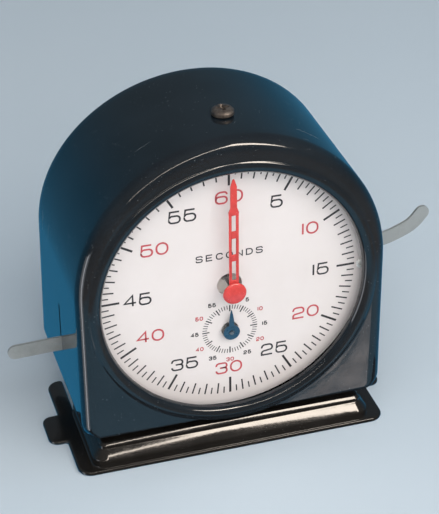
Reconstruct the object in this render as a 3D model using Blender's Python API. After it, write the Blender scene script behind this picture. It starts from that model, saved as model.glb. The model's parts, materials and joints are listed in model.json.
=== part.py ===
"""Lab timer: a wind-up seconds timer in a black arched case on a heavy base.

Sizes are in millimetres and MM turns them into Blender's metres. +X is to the right of someone
reading the dial, +Y points into the case and +Z is up. The origin is on the table, straight below
the dial's centre and in the plane of the dial's face. Heights in the movement are counted from the
dial's centre, and the part's own frame is reached by adding DIAL_HEIGHT.
"""

from math import atan2, cos, hypot, pi, radians, sin, tau

import bmesh
import bpy
from mathutils import Vector
from mathutils.geometry import tessellate_polygon

MM = 0.001

# Driving dimensions
DIAL_HEIGHT = 67.0  # dial centre above the table
CASE_HALF_WIDTH = 55.5
CASE_TOP = 60.0  # above the dial's centre
CASE_BOTTOM = -52.4
CASE_FRONT = -8.0
CASE_DEPTH = 56.0  # y of the open back at the dial's height
CASE_LEAN = 0.115  # the back leans forward by this much per unit of height
CASE_WALL = 1.2
CASE_ROUND = 5.0  # rounding of the front edge
CASE_CORNER = 6.5  # lower corners
OPENING_RADIUS = 47.0
LIP_ROUND = 2.8
PLATFORM = (52.2, -6.0, 34.0)  # half width, front y, back y
SHOULDER = (4.9, 8.3, 2.8)  # the slope round it: heights of its lower and upper edge, and its inset
PLATFORM_TOP = 10.4
PLATFORM_ROUND = 0.7  # its upper edge
PLATFORM_CORNER = 5.2  # its upright edges
NECK_INSET = 7.0  # of the neck between the platform's top and the case
FLANGE = (57.8, -6.7, 52.0, 1.8)  # half width, front y, back y of the legs, thickness
LEG_INSIDE = 51.6  # x of the legs' inner edges
EAR = (64.2, 22.6, 16.4)  # outer x, middle y, length along y
DIAL_RADIUS = 50.5
DIAL_THICKNESS = 0.8
DIAL_SCREW_X = 48.5
SECONDS_HOLE = 4.5
MINUTES_HOLE = 3.1
FRONT_PLATE = (5.5, 7.0)
BACK_PLATE = (23.0, 24.5)
LEVER_LAYER = (25.5, 26.5)
COVER_THICKNESS = 1.2
COVER_INSET = 0.5  # the cover's outer face is this far inside the case's back edge
TOP_SCREW = (1.6, 12.0)  # x and y of the screw in the case's crown
BASE_SCREWS = ((-30.0, 16.0), (30.0, 16.0))
SCREW_SEAT = 8.0  # depth of the counterbores under the base
SCREW_CLEARANCE = 2.3  # radius of a hole that a case screw goes through
SHEET = 1.5  # thickness of the angle brackets
GAP = 0.3  # between two faces that touch

# Levers and hands: heights from the dial's centre
START_SLOT = (-33.6, -13.4)
RESET_SLOT = (-21.0, -4.4)
SLOT_HALF_WIDTH = 0.9
LEVER_WIDTH = 5.5
LEVER_BORE = 1.25
HAND_LAYER = (-5.5, -5.0)
HAND_RAILS = (1.75, 0.75)  # outer and inner half width of the two rails
HAND_SLOTS = ((5.0, 12.6), (15.2, 21.6), (24.4, 30.6))
MINUTE_HAND_LAYER = (-2.4, -1.9)

# Movement, seen from the front: x and height above the dial's centre
SECONDS = (0.0, 0.0)
MINUTES = (0.0, -18.7)
SECONDS_MODULE, THIRD_MODULE, MINUTE_MODULE, BARREL_MODULE = 0.42, 0.466667, 0.533333, 0.625
WHEEL_TEETH, THIRD_TEETH, PINION_LEAVES, BARREL_PINION_LEAVES = 48, 45, 6, 8
ESCAPE_TEETH = 15
ESCAPE_RADIUS = 5.8
RATCHET_TEETH = 18
RATCHET_RADIUS = 6.4
PIVOT_RADIUS = 0.6  # of the smaller arbors
PIVOT_BORE = 0.75
PIVOT_ENDS = (5.6, 24.3)  # where those arbors begin and end, inside the two plates


def along(start, angle, distance):
    """The point this far from start, at an angle counted from +X towards +Z."""
    return (start[0] + distance * cos(angle), start[1] + distance * sin(angle))


def bearing(start, end):
    return atan2(end[1] - start[1], end[0] - start[0])


def mesh_distance(module, wheel, pinion):
    return module * (wheel + pinion) / 2


THIRD = along(SECONDS, radians(219.6), mesh_distance(THIRD_MODULE, THIRD_TEETH, PINION_LEAVES))
BARREL = along(MINUTES, radians(-39.7), mesh_distance(BARREL_MODULE, WHEEL_TEETH, BARREL_PINION_LEAVES))
ESCAPE_LINE = radians(132.8)  # from the escape wheel through the pallet to the balance
ESCAPE = along(SECONDS, radians(129.9), mesh_distance(SECONDS_MODULE, WHEEL_TEETH, PINION_LEAVES))
PALLET = along(ESCAPE, ESCAPE_LINE, 8.8)
BALANCE = along(PALLET, ESCAPE_LINE, 10.5)
BALANCE_RADIUS = 9.5
IMPULSE_RADIUS = 2.2
PILLARS = ((-30.0, -40.5), (34.0, -38.0), (6.0, 37.0))
START_PIVOT = (-4.0, -34.0)
START_TRAVEL = radians(14.5)
RESET_PIVOT = (26.0, 22.0)
CLICK_PIVOT = (24.5, -22.5)
COVER_POSTS = ((-24.0, 8.0), (27.0, 3.0))


# Finishes: colour, roughness, metallic
FINISHES = {
    "black_enamel": ((0.012, 0.017, 0.024), 0.14, 0.0),
    "base_enamel": ((0.014, 0.013, 0.012), 0.18, 0.0),
    "dial_white": ((0.80, 0.76, 0.74), 0.45, 0.0),
    "hand_red": ((0.72, 0.035, 0.02), 0.35, 0.0),
    "hand_blue": ((0.022, 0.085, 0.16), 0.35, 0.3),
    "nickel": ((0.45, 0.49, 0.52), 0.3, 1.0),
    "screw_steel": ((0.22, 0.20, 0.18), 0.3, 1.0),
    "brass": ((0.65, 0.45, 0.17), 0.3, 1.0),
    "steel": ((0.40, 0.41, 0.43), 0.25, 1.0),
    "spring_steel": ((0.10, 0.14, 0.28), 0.25, 1.0),
}


def material(name):
    found = bpy.data.materials.get(name)
    if found:
        return found
    colour, roughness, metallic = FINISHES[name]
    made = bpy.data.materials.new(name)
    made.use_nodes = True
    shader = made.node_tree.nodes["Principled BSDF"]
    shader.inputs["Base Color"].default_value = (*colour, 1.0)
    shader.inputs["Roughness"].default_value = roughness
    shader.inputs["Metallic"].default_value = metallic
    return made


def finished(name, bm, finish, pivot=None):
    """The object made from a mesh in millimetres, its origin on pivot, an (x, height) axis along Y."""
    origin = Vector((pivot[0], 0.0, pivot[1] + DIAL_HEIGHT)) if pivot else Vector()
    bmesh.ops.translate(bm, verts=bm.verts, vec=-origin)
    bmesh.ops.scale(bm, verts=bm.verts, vec=(MM, MM, MM))
    bmesh.ops.recalc_face_normals(bm, faces=bm.faces)
    mesh = bpy.data.meshes.new(name)
    bm.to_mesh(mesh)
    bm.free()
    mesh.materials.append(material(finish))
    mesh.shade_smooth()
    mesh.set_sharp_from_angle(angle=radians(35))
    made = bpy.data.objects.new(name, mesh)
    made.location = origin * MM
    bpy.context.scene.collection.objects.link(made)
    return made


def placed(axis, a, b, level):
    """A point of a flat drawing, lifted to a level: the movement's drawings lie across Y, the base's Z."""
    return (a, level, b + DIAL_HEIGHT) if axis == "Y" else (a, b, level)


def prism(name, loops, low, high, finish, axis="Y", pivot=None):
    """A flat piece: an outline, and any holes after it, carried from low to high along the axis."""
    bm = bmesh.new()
    points = [point for loop in loops for point in loop]
    ends = [[bm.verts.new(placed(axis, a, b, level)) for a, b in points] for level in (low, high)]
    if len(loops) == 1:
        faces = [range(len(points))]
    else:
        faces = tessellate_polygon([[Vector((a, b, 0.0)) for a, b in loop] for loop in loops])
    for corners in faces:
        bm.faces.new([ends[0][i] for i in corners])
        bm.faces.new([ends[1][i] for i in reversed(corners)])
    first = 0
    for loop in loops:
        for i in range(len(loop)):
            here, there = first + i, first + (i + 1) % len(loop)
            bm.faces.new((ends[0][here], ends[0][there], ends[1][there], ends[1][here]))
        first += len(loop)
    return finished(name, bm, finish, pivot)


def ring_of(bm, axis, centre, radius, level, segments):
    if radius == 0:
        return [bm.verts.new(placed(axis, *centre, level))]
    turns = (tau * i / segments for i in range(segments))
    return [bm.verts.new(placed(axis, *along(centre, turn, radius), level)) for turn in turns]


def skin(bm, first, second):
    """Faces between two rings, one of which may be a single point."""
    count = max(len(first), len(second))
    for i in range(count):
        corners = [first[i % len(first)], first[(i + 1) % len(first)]]
        corners += [second[(i + 1) % len(second)], second[i % len(second)]]
        bm.faces.new(list(dict.fromkeys(corners)))


def turned(name, centre, profile, finish, axis="Y", segments=16, pivot=None):
    """A turned piece from (radius, level) points. A profile that never meets the axis closes on itself."""
    bm = bmesh.new()
    rings = [ring_of(bm, axis, centre, radius, level, segments) for radius, level in profile]
    pairs = list(zip(rings, rings[1:]))
    if profile[0][0] and profile[-1][0]:
        pairs.append((rings[-1], rings[0]))
    for first, second in pairs:
        skin(bm, first, second)
    return finished(name, bm, finish, pivot)


def shaft(name, centre, steps, finish, pivot=None, segments=12):
    """A solid arbor from (start, end, radius) steps along Y."""
    profile = [(0, steps[0][0])]
    for start, end, radius in steps:
        profile += [(radius, start), (radius, end)]
    profile.append((0, steps[-1][1]))
    return turned(name, centre, profile, finish, segments=segments, pivot=pivot)


def rod(centre, radius, start, end, axis="Y", segments=16):
    """A plain rod, to cut a hole with or to join on as a pin."""
    profile = [(0, start), (radius, start), (radius, end), (0, end)]
    return turned("rod", centre, profile, "steel", axis=axis, segments=segments)


def boolean(target, other, operation):
    """Applies one Boolean and removes the other solid, so that a single body is left."""
    step = target.modifiers.new(operation.lower(), "BOOLEAN")
    step.operation = operation
    step.solver = "EXACT"
    step.object = other
    graph = bpy.context.evaluated_depsgraph_get()
    mesh = bpy.data.meshes.new_from_object(target.evaluated_get(graph))
    target.modifiers.clear()
    target.data = mesh
    bpy.data.objects.remove(other)
    return target


def united(target, *others):
    for other in others:
        boolean(target, other, "UNION")
    return target


def cut(target, *others):
    for other in others:
        boolean(target, other, "DIFFERENCE")
    return target


def circle(centre, radius, segments=16):
    return [along(centre, tau * i / segments, radius) for i in range(segments)]


def rounded(corners, radius, steps=4):
    """A polygon with each convex corner of the list replaced by an arc; radius may be a number per corner."""
    radii = radius if isinstance(radius, (list, tuple)) else [radius] * len(corners)
    outline = []
    for i, corner in enumerate(corners):
        here = Vector(corner)
        back = (Vector(corners[i - 1]) - here).normalized()
        ahead = (Vector(corners[(i + 1) % len(corners)]) - here).normalized()
        if radii[i] == 0:
            outline.append(tuple(here))
            continue
        half = back.angle(ahead) / 2
        reach = radii[i] / abs(sin(half) / cos(half))
        middle = here + (back + ahead).normalized() * radii[i] / sin(half)
        start = (here + back * reach - middle) / radii[i]
        end = (here + ahead * reach - middle) / radii[i]
        outline += [tuple(middle + start.slerp(end, k / steps) * radii[i]) for k in range(steps + 1)]
    return outline


def strip(points, width, steps=6):
    """The outline of a flat strip with round ends that follows a line of points."""
    line = [Vector(point) for point in points]
    sides = ([], [])
    for i, here in enumerate(line):
        way = (line[min(i + 1, len(line) - 1)] - line[max(i - 1, 0)]).normalized()
        across = Vector((-way.y, way.x)) * width / 2
        sides[0].append(tuple(here + across))
        sides[1].append(tuple(here - across))
    end_turn, start_turn = bearing(line[-2], line[-1]), bearing(line[1], line[0])
    caps = [
        [along(tip, turn + pi / 2 - pi * k / steps, width / 2) for k in range(1, steps)]
        for tip, turn in ((line[-1], end_turn), (line[0], start_turn))
    ]
    return sides[0] + caps[0] + sides[1][::-1] + caps[1]


def gear_outline(centre, teeth, module, towards, wheel):
    """Teeth round a centre. A wheel has a tooth on the towards line, and a pinion a gap there."""
    pitch = tau / teeth
    radius = module * teeth / 2
    tip, root = (0.9, 1.2) if wheel else (0.5, 1.15)  # heights from the pitch circle, in modules
    outline = []
    for i in range(teeth):
        middle = towards + pitch * (i if wheel else i + 0.5)
        if wheel:
            shape = ((-0.5, -root), (-0.06, tip), (0.06, tip))
        else:
            shape = ((-0.17, -root), (-0.06, tip), (0.06, tip), (0.17, -root))
        for share, height in shape:
            outline.append(along(centre, middle + pitch * share, radius + module * height))
    return outline


def crossings(centre, inner, outer, spokes=4, spoke_width=1.8):
    """The openings between the spokes of a wheel."""
    holes = []
    for i in range(spokes):
        middle = tau * (i + 0.5) / spokes
        hole = []
        for radius, order in ((outer, (-1, -0.34, 0.34, 1)), (inner, (1, -1))):
            half = pi / spokes - spoke_width / 2 / radius
            hole += [along(centre, middle + half * share, radius) for share in order]
        holes.append(hole)
    return holes


def wheel(name, centre, teeth, module, towards, layer, bore):
    root = module * (teeth / 2 - 1.2)
    loops = [gear_outline(centre, teeth, module, towards, True), circle(centre, bore, 12)]
    loops += crossings(centre, bore + 1.8, root - 1.4)
    return prism(name, loops, *layer, "brass", pivot=centre)


def pinion_arbor(name, centre, steps, leaves, module, towards, layer):
    """An arbor with its pinion, cut from one rod."""
    arbor = shaft(name, centre, steps, "steel", pivot=centre)
    leaf_outline = gear_outline(centre, leaves, module, towards, False)
    return united(arbor, prism(name + "_leaves", [leaf_outline], *layer, "steel"))


# Case and base


def case_outline(inset, points=56):
    """The arched front view of the case, drawn in by inset, from the right end of the arch round."""
    half = CASE_HALF_WIDTH - inset
    spring = CASE_TOP - CASE_HALF_WIDTH  # height of the arch's centre
    bottom = CASE_BOTTOM + min(inset, CASE_WALL) + 0.3 * max(inset - CASE_WALL, 0)
    corner = max(CASE_CORNER - inset, 1.0)
    arch = points // 2
    outline = [along((0, spring), pi * i / arch, half) for i in range(arch + 1)]
    rest = points - len(outline)
    turn, side = rest // 4, (rest - 2 * (rest // 4)) // 3
    left = []
    for i in range(side):
        left.append((-half, spring + (bottom + corner - spring) * (i + 1) / (side + 1)))
    for i in range(turn):
        left.append(along((corner - half, bottom + corner), pi + pi / 2 * i / (turn - 1), corner))
    middle = rest - 2 * len(left)
    floor = [(half - corner) * (2 * (i + 1) / (middle + 1) - 1) for i in range(middle)]
    outline += left + [(x, bottom) for x in floor] + [(-x, height) for x, height in reversed(left)]
    return outline


def lean(height):
    """y of the case's open back at a height above the dial's centre."""
    return CASE_DEPTH - CASE_LEAN * height


def case_ring(bm, outline, level):
    """A ring of the case's skin. level is a y, or a function of the height for the leaning back."""
    ys = [level(height) if callable(level) else level for _, height in outline]
    return [bm.verts.new((x, y, height + DIAL_HEIGHT)) for (x, height), y in zip(outline, ys)]


def lip_outline(radius, points=56):
    """A circle whose points answer those of case_outline by their bearing from the dial's centre."""
    return [along((0, 0), bearing((0, 0), point), radius) for point in case_outline(CASE_ROUND, points)]


def case_shell():
    bm = bmesh.new()
    rings = [case_ring(bm, case_outline(0), lean)]
    for i in range(4):
        turn = pi / 2 * i / 3
        inset = CASE_ROUND * (1 - cos(turn))
        rings.append(case_ring(bm, case_outline(inset), CASE_FRONT + CASE_ROUND * (1 - sin(turn))))
    for i in range(4):
        turn = pi / 2 * i / 3
        radius = OPENING_RADIUS + LIP_ROUND * (1 - sin(turn))
        rings.append(case_ring(bm, lip_outline(radius), CASE_FRONT + LIP_ROUND * (1 - cos(turn))))
    rings.append(case_ring(bm, lip_outline(OPENING_RADIUS + CASE_WALL), CASE_FRONT + LIP_ROUND))
    rings.append(case_ring(bm, case_outline(CASE_ROUND), CASE_FRONT + CASE_WALL))
    rings.append(case_ring(bm, case_outline(CASE_WALL), CASE_FRONT + CASE_ROUND))
    rings.append(case_ring(bm, case_outline(CASE_WALL), lean))
    for first, second in zip(rings, rings[1:] + rings[:1]):
        skin(bm, first, second)
    shell = finished("case_shell", bm, "black_enamel")
    left_slot = slot_cutter("left_slot", -CASE_HALF_WIDTH, START_SLOT)
    right_slot = slot_cutter("right_slot", CASE_HALF_WIDTH, RESET_SLOT)
    top = CASE_TOP + DIAL_HEIGHT
    floor = CASE_BOTTOM + DIAL_HEIGHT
    cut(shell, left_slot, right_slot, rod(TOP_SCREW, SCREW_CLEARANCE, top - 6, top + 4, "Z"))
    return cut(shell, *[rod(at, SCREW_CLEARANCE, floor - 4, floor + 6, "Z") for at in BASE_SCREWS])


def slot_cutter(name, wall_x, span):
    """A block that opens a lever's slot in a side wall, from the lower to the upper height in span."""
    low, high = span
    outline = [(wall_x - 4, low), (wall_x + 4, low), (wall_x + 4, high), (wall_x - 4, high)]
    middle = sum(LEVER_LAYER) / 2
    return prism(name, [outline], middle - SLOT_HALF_WIDTH, middle + SLOT_HALF_WIDTH, "steel")


def base_plate():
    """A flange with two legs and two ears, and a raised platform that carries the case."""
    half, front, back, thickness = FLANGE
    ear_x, ear_y, ear_length = EAR
    ear_front, ear_back = ear_y - ear_length / 2, ear_y + ear_length / 2
    right = [(half, front, 5.0), (half, ear_front, 1.0), (ear_x, ear_front, 3.6), (ear_x, ear_back, 3.6)]
    right += [(half, ear_back, 1.0), (half, back, 4.6), (LEG_INSIDE, back, 1.2)]
    right.append((LEG_INSIDE, PLATFORM[2] - 6, 0))
    corners = right + [(-x, y, radius) for x, y, radius in reversed(right)]
    outline = rounded([(x, y) for x, y, _ in corners], [radius for _, _, radius in corners])
    flange = prism("base_plate", [outline], 0.0, thickness, "base_enamel", axis="Z")
    united(flange, platform_block())
    return cut(flange, *[base_bore(x, y) for x, y in BASE_SCREWS])


def platform_block():
    """The raised middle of the base: a sloping shoulder, a low step, and a neck that carries the case."""
    half, front, back = PLATFORM
    low, high, step = SHOULDER
    levels = [(0.0, 0.6), (0.0, low), (step, high)]
    for i in range(3):
        turn = pi / 2 * i / 2
        inset = step + PLATFORM_ROUND * (1 - cos(turn))
        levels.append((inset, PLATFORM_TOP - PLATFORM_ROUND * (1 - sin(turn))))
    levels += [(NECK_INSET, PLATFORM_TOP), (NECK_INSET, CASE_BOTTOM + DIAL_HEIGHT - GAP)]
    bm = bmesh.new()
    rings = []
    for inset, level in levels:
        box = [(-half + inset, front + inset), (half - inset, front + inset)]
        box += [(half - inset, back - inset), (-half + inset, back - inset)]
        outline = rounded(box, max(PLATFORM_CORNER - inset, 1.0))
        rings.append([bm.verts.new((x, y, level)) for x, y in outline])
    for first, second in zip(rings, rings[1:]):
        skin(bm, first, second)
    bm.faces.new(rings[0])
    bm.faces.new(rings[-1])
    return finished("platform", bm, "base_enamel")


def base_bore(x, y):
    """The counterbored hole of a screw that comes up through the base."""
    profile = [(0, -1), (4.6, -1), (4.6, SCREW_SEAT)]
    profile += [(SCREW_CLEARANCE, SCREW_SEAT), (SCREW_CLEARANCE, 18), (0, 18)]
    return turned("base_bore", (x, y), profile, "steel", axis="Z")


def rear_cover():
    """The plate that closes the leaning back, with holes for the key's arbor and two screws."""
    bm = bmesh.new()
    outline = case_outline(CASE_WALL + GAP)
    near = case_ring(bm, outline, lambda height: lean(height) - COVER_INSET - COVER_THICKNESS)
    far = case_ring(bm, outline, lambda height: lean(height) - COVER_INSET)
    skin(bm, near, far)
    bm.faces.new(near)
    bm.faces.new(far)
    cover = finished("rear_cover", bm, "black_enamel")
    holes = [(BARREL, 3.4)] + [(post, 1.7) for post in COVER_POSTS]
    return cut(cover, *[rod(centre, radius, 45, 70) for centre, radius in holes])


def pan_screw(name, centre, seat, head, shank, axis, outward, finish):
    """A pan-head screw with a cross recess. head is its radius and height, shank its radius and length, and
    outward is +1 or -1, the way the head faces along the axis."""
    head_radius, head_height = head
    shank_radius, shank_length = shank
    at = [0.0, 0.45 * head_height, 0.85 * head_height, head_height]
    radii = [head_radius, head_radius, 0.8 * head_radius, 0.0]
    profile = [(0, seat - outward * shank_length), (shank_radius, seat - outward * shank_length)]
    profile += [(shank_radius, seat)] + [(r, seat + outward * h) for r, h in zip(radii, at)]
    screw = turned(name, centre, profile, finish, axis=axis)
    arm, half = 0.55 * head_radius, 0.13 * head_radius
    quarter = [(arm, -half), (arm, half), (half, half)]
    quarters = [pi / 2 * i for i in range(4)]
    cross = [(x * cos(t) - y * sin(t), x * sin(t) + y * cos(t)) for t in quarters for x, y in quarter]
    cross = [(centre[0] + x, centre[1] + y) for x, y in cross]
    ends = sorted((seat + outward * 0.4 * head_height, seat + outward * (head_height + 1)))
    return cut(screw, prism(name + "_recess", [cross], *ends, "steel", axis=axis))


def extruded_across(name, side_view, left, right, finish):
    """A piece of one (y, z) side view, carried from left to right."""
    bm = bmesh.new()
    ends = [[bm.verts.new((x, y, z)) for y, z in side_view] for x in (left, right)]
    skin(bm, *ends)
    bm.faces.new(ends[0])
    bm.faces.new(ends[1])
    return finished(name, bm, finish)


def case_and_base():
    case_shell()
    base_plate()
    rear_cover()
    top = CASE_TOP + DIAL_HEIGHT
    pan_screw("top_screw", TOP_SCREW, top + GAP, (4.0, 2.6), (1.9, 6.0), "Z", 1, "screw_steel")
    for side, at in zip(("left", "right"), BASE_SCREWS):
        seat = SCREW_SEAT - GAP
        pan_screw(f"base_screw_{side}", at, seat, (4.0, 2.4), (1.9, 12.0), "Z", -1, "screw_steel")
    for i, post in enumerate(COVER_POSTS):
        face = lean(post[1]) - COVER_INSET
        pan_screw(f"cover_screw_{i + 1}", post, face + GAP, (2.8, 1.8), (1.3, 5.0), "Y", 1, "screw_steel")
        end = face - COVER_THICKNESS - 0.7
        foot = BACK_PLATE[1] + GAP
        profile = [(0, foot), (2.6, foot), (2.6, end), (1.5, end), (1.5, end - 6), (0, end - 6)]
        turned(f"cover_post_{i + 1}", post, profile, "nickel")


def brackets():
    """Angle brackets that tie the movement to the case's top screw and the case and base screws."""
    half = 7.0
    front = FRONT_PLATE[1] + GAP
    back = front + SHEET
    top = CASE_TOP + DIAL_HEIGHT - 2.8
    side = [(front, top - 12), (back, top - 12), (back, top - SHEET), (21, top - SHEET), (21, top)]
    side.append((front, top))
    bracket("top_bracket", side, TOP_SCREW[0] - half, TOP_SCREW[0] + half, [TOP_SCREW], (top - 6, top + 2))
    floor = CASE_BOTTOM + DIAL_HEIGHT + CASE_WALL + GAP
    side = [(front, floor), (22, floor), (22, floor + SHEET), (back, floor + SHEET), (back, floor + 8)]
    side.append((front, floor + 8))
    bracket("bottom_bracket", side, -36, 36, BASE_SCREWS, (floor - 2, floor + 6))


def bracket(name, side, left, right, holes, reach):
    """An angle bracket from its (y, z) side view, with upright screw holes."""
    made = extruded_across(name, side, left, right, "steel")
    return cut(made, *[rod(at, 2.1, *reach, "Z") for at in holes])


# Dial and hands


def dial():
    loops = [circle((0, 0), DIAL_RADIUS, 72), circle(SECONDS, SECONDS_HOLE, 24)]
    loops += [circle(MINUTES, MINUTES_HOLE, 20)]
    loops += [circle((side * DIAL_SCREW_X, 0), 1.1, 10) for side in (-1, 1)]
    prism("dial", loops, 0.0, DIAL_THICKNESS, "dial_white")
    for name, side in (("left", -1), ("right", 1)):
        at = (side * DIAL_SCREW_X, 0)
        pan_screw(f"dial_screw_{name}", at, -GAP, (2.0, 1.2), (0.8, 4.0), "Y", -1, "nickel")
        profile = [(1.0, DIAL_THICKNESS + GAP), (1.9, DIAL_THICKNESS + GAP)]
        profile += [(1.9, FRONT_PLATE[0] - GAP), (1.0, FRONT_PLATE[0] - GAP)]
        turned(f"dial_foot_{name}", at, profile, "brass", segments=12)


def seconds_hand():
    """Two rails joined by cross bars, a shoulder, and a solid blade out to the tip."""
    outer, inner = HAND_RAILS
    right = [(outer, 0.5), (outer, 30.0), (1.9, 31.8), (1.2, 33.6), (1.15, 41.8), (0.35, 44.5)]
    outline = right + [(-x, z) for x, z in reversed(right)]
    slots = [[(-inner, low), (inner, low), (inner, high), (-inner, high)] for low, high in HAND_SLOTS]
    prism("seconds_hand", [outline, *slots], *HAND_LAYER, "hand_red", pivot=SECONDS)
    front = HAND_LAYER[0] - GAP
    profile = [(0, front - 1.5), (1.8, front - 1.3), (3.3, front - 0.8), (4.2, front), (0, front)]
    turned("seconds_hand_boss", SECONDS, profile, "hand_red", segments=24, pivot=SECONDS)


def minute_hand():
    blade = [(0.95, 2.3), (0.85, 5.0), (0.5, 7.4), (0.12, 9.2)]
    disc = [along((0, 0), pi / 2 - turn, 3.0) for turn in (radians(24 + 24 * i) for i in range(14))]
    outline = [(-x, z) for x, z in blade] + blade[::-1] + disc
    outline = [(MINUTES[0] + x, MINUTES[1] + z) for x, z in outline]
    prism("minute_hand", [outline, circle(MINUTES, 0.9, 10)], *MINUTE_HAND_LAYER, "hand_blue", pivot=MINUTES)


# Plates


def plates():
    small = [(centre, PIVOT_BORE) for centre in (THIRD, ESCAPE, PALLET)]
    bores = small + [(BALANCE, PIVOT_BORE), (SECONDS, 1.6), (MINUTES, 1.35), (BARREL, 2.2)]
    loops = [circle((0, 0), 51.0, 60)] + [circle(centre, radius, 10) for centre, radius in bores]
    loops += [circle((side * DIAL_SCREW_X, 0), 1.0, 8) for side in (-1, 1)]
    prism("front_plate", loops, *FRONT_PLATE, "nickel")
    corners = [(-40, -45), (40, -43), (41, 38), (-40, 42)]
    bores = small + [(SECONDS, 1.15), (MINUTES, 1.35), (BARREL, 2.9), (BALANCE, 1.6)]
    bores += [(START_PIVOT, 1.15), (RESET_PIVOT, 1.15), (CLICK_PIVOT, 0.95)]
    bores += [(post, 1.3) for post in PILLARS]
    loops = [rounded(corners, 5.0)] + [circle(centre, radius, 10) for centre, radius in bores]
    prism("back_plate", loops, *BACK_PLATE, "nickel")
    for i, post in enumerate(PILLARS):
        shoulder = BACK_PLATE[0] - GAP
        steps = [(FRONT_PLATE[1] + GAP, shoulder, 2.4), (shoulder, BACK_PLATE[1] + 2.6, 1.1)]
        shaft(f"pillar_{i + 1}", post, steps, "steel")
        nut = [circle(post, 2.6, 6), circle(post, 1.2, 10)]
        prism(f"pillar_nut_{i + 1}", nut, BACK_PLATE[1] + GAP, BACK_PLATE[1] + 2.0, "steel")


# Going train


def heart_outline(centre, turn, size=4.1):
    """A heart cam: its radius grows evenly from the notch to the far side."""
    count = 20
    radii = [size * (0.42 + 0.58 * (1 - abs(2 * i / count - 1))) for i in range(count)]
    return [along(centre, turn + tau * i / count, radius) for i, radius in enumerate(radii)]


def stepped(start, end, radius):
    """The steps of a small arbor: its thin pivots, and a thicker middle from start to end."""
    front, back = PIVOT_ENDS
    return [(front, start, PIVOT_RADIUS), (start, end, radius), (end, back, PIVOT_RADIUS)]


def going_train():
    steps = [(-4.7, 5.0, 0.7), (5.0, 26.9, 0.9)]
    towards = bearing(SECONDS, THIRD)
    pinion_arbor("seconds_arbor", SECONDS, steps, PINION_LEAVES, THIRD_MODULE, towards, (13.5, 15.5))
    layer = (20.8, 21.8)
    wheel("seconds_wheel", SECONDS, WHEEL_TEETH, SECONDS_MODULE, bearing(SECONDS, ESCAPE), layer, 1.0)
    steps = stepped(13.6, 20.6, 0.85)
    towards = bearing(THIRD, MINUTES)
    pinion_arbor("third_arbor", THIRD, steps, PINION_LEAVES, MINUTE_MODULE, towards, (18.4, 20.6))
    wheel("third_wheel", THIRD, THIRD_TEETH, THIRD_MODULE, bearing(THIRD, SECONDS), (14.0, 15.0), 1.0)
    steps = [(-2.8, 5.0, 0.75), (5.0, 26.9, 1.1)]
    towards = bearing(MINUTES, BARREL)
    pinion_arbor("minute_arbor", MINUTES, steps, BARREL_PINION_LEAVES, BARREL_MODULE, towards, (8.4, 10.6))
    wheel("minute_wheel", MINUTES, WHEEL_TEETH, MINUTE_MODULE, bearing(MINUTES, THIRD), (19.0, 20.0), 1.25)
    for name, centre, bore in (("seconds", SECONDS, 1.0), ("minute", MINUTES, 1.25)):
        loops = [heart_outline(centre, pi), circle(centre, bore, 12)]
        prism(f"{name}_heart_cam", loops, *LEVER_LAYER, "steel", pivot=centre)


def spiral(name, centre, inner, outer, turns, thickness, layer):
    """A flat spring wound in a spiral."""
    points_a_turn = 16
    count = turns * points_a_turn
    edges = []
    for side in (0.5, -0.5):
        radii = [inner + (outer - inner) * i / count + side * thickness for i in range(count + 1)]
        edges.append([along(centre, tau * i / points_a_turn, radius) for i, radius in enumerate(radii)])
    return prism(name, [edges[0] + edges[1][::-1]], *layer, "spring_steel", pivot=centre)


def barrel():
    """The toothed drum with its lid, the mainspring in it, and the arbor that winds it."""
    outline = gear_outline(BARREL, WHEEL_TEETH, BARREL_MODULE, bearing(BARREL, MINUTES), True)
    drum = prism("barrel_drum", [outline, circle(BARREL, 2.3, 16)], 9.0, 10.2, "brass", pivot=BARREL)
    profile = [(13.4, 10.0), (13.4, 17.0), (12.5, 17.0), (12.5, 10.0)]
    united(drum, turned("drum_wall", BARREL, profile, "brass", segments=32))
    profile = [(2.6, 17.3), (13.4, 17.3), (13.4, 18.0), (2.6, 18.0)]
    turned("barrel_lid", BARREL, profile, "brass", segments=32, pivot=BARREL)
    spiral("mainspring", BARREL, 4.2, 11.9, 6, 0.5, (10.8, 16.6))
    back = lean(BARREL[1])
    steps = [(5.6, 17.9, 2.0), (17.9, 24.8, 2.4), (24.8, back + 1.5, 2.0), (back + 1.5, back + 5.0, 1.6)]
    arbor = shaft("winding_arbor", BARREL, steps, "steel", pivot=BARREL, segments=16)
    united(arbor, rod(BARREL, 3.2, 10.8, 16.6))
    ratchet()
    winding_key(back + 2.4)


def ratchet():
    outline = []
    for i in range(RATCHET_TEETH):
        turn = tau * i / RATCHET_TEETH
        outline.append(along(BARREL, turn, RATCHET_RADIUS - 1.0))
        outline.append(along(BARREL, turn + 0.03, RATCHET_RADIUS))
    prism("ratchet_wheel", [outline, circle(BARREL, 2.1, 16)], *LEVER_LAYER, "steel", pivot=BARREL)
    nose = along(BARREL, radians(58), RATCHET_RADIUS + 0.35)
    towards = bearing(CLICK_PIVOT, nose)
    reach = hypot(nose[0] - CLICK_PIVOT[0], nose[1] - CLICK_PIVOT[1])
    ring = [along(CLICK_PIVOT, towards + turn, 1.9) for turn in (radians(45 + 30 * i) for i in range(10))]
    outline = ring + [along(CLICK_PIVOT, towards - 0.08, reach - 0.6), nose]
    prism("click", [outline, circle(CLICK_PIVOT, 0.9, 10)], *LEVER_LAYER, "steel", pivot=CLICK_PIVOT)
    head = LEVER_LAYER[1] + GAP
    shaft("click_screw", CLICK_PIVOT, [(BACK_PLATE[0], head, 0.8), (head, head + 0.9, 1.7)], "steel")


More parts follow.
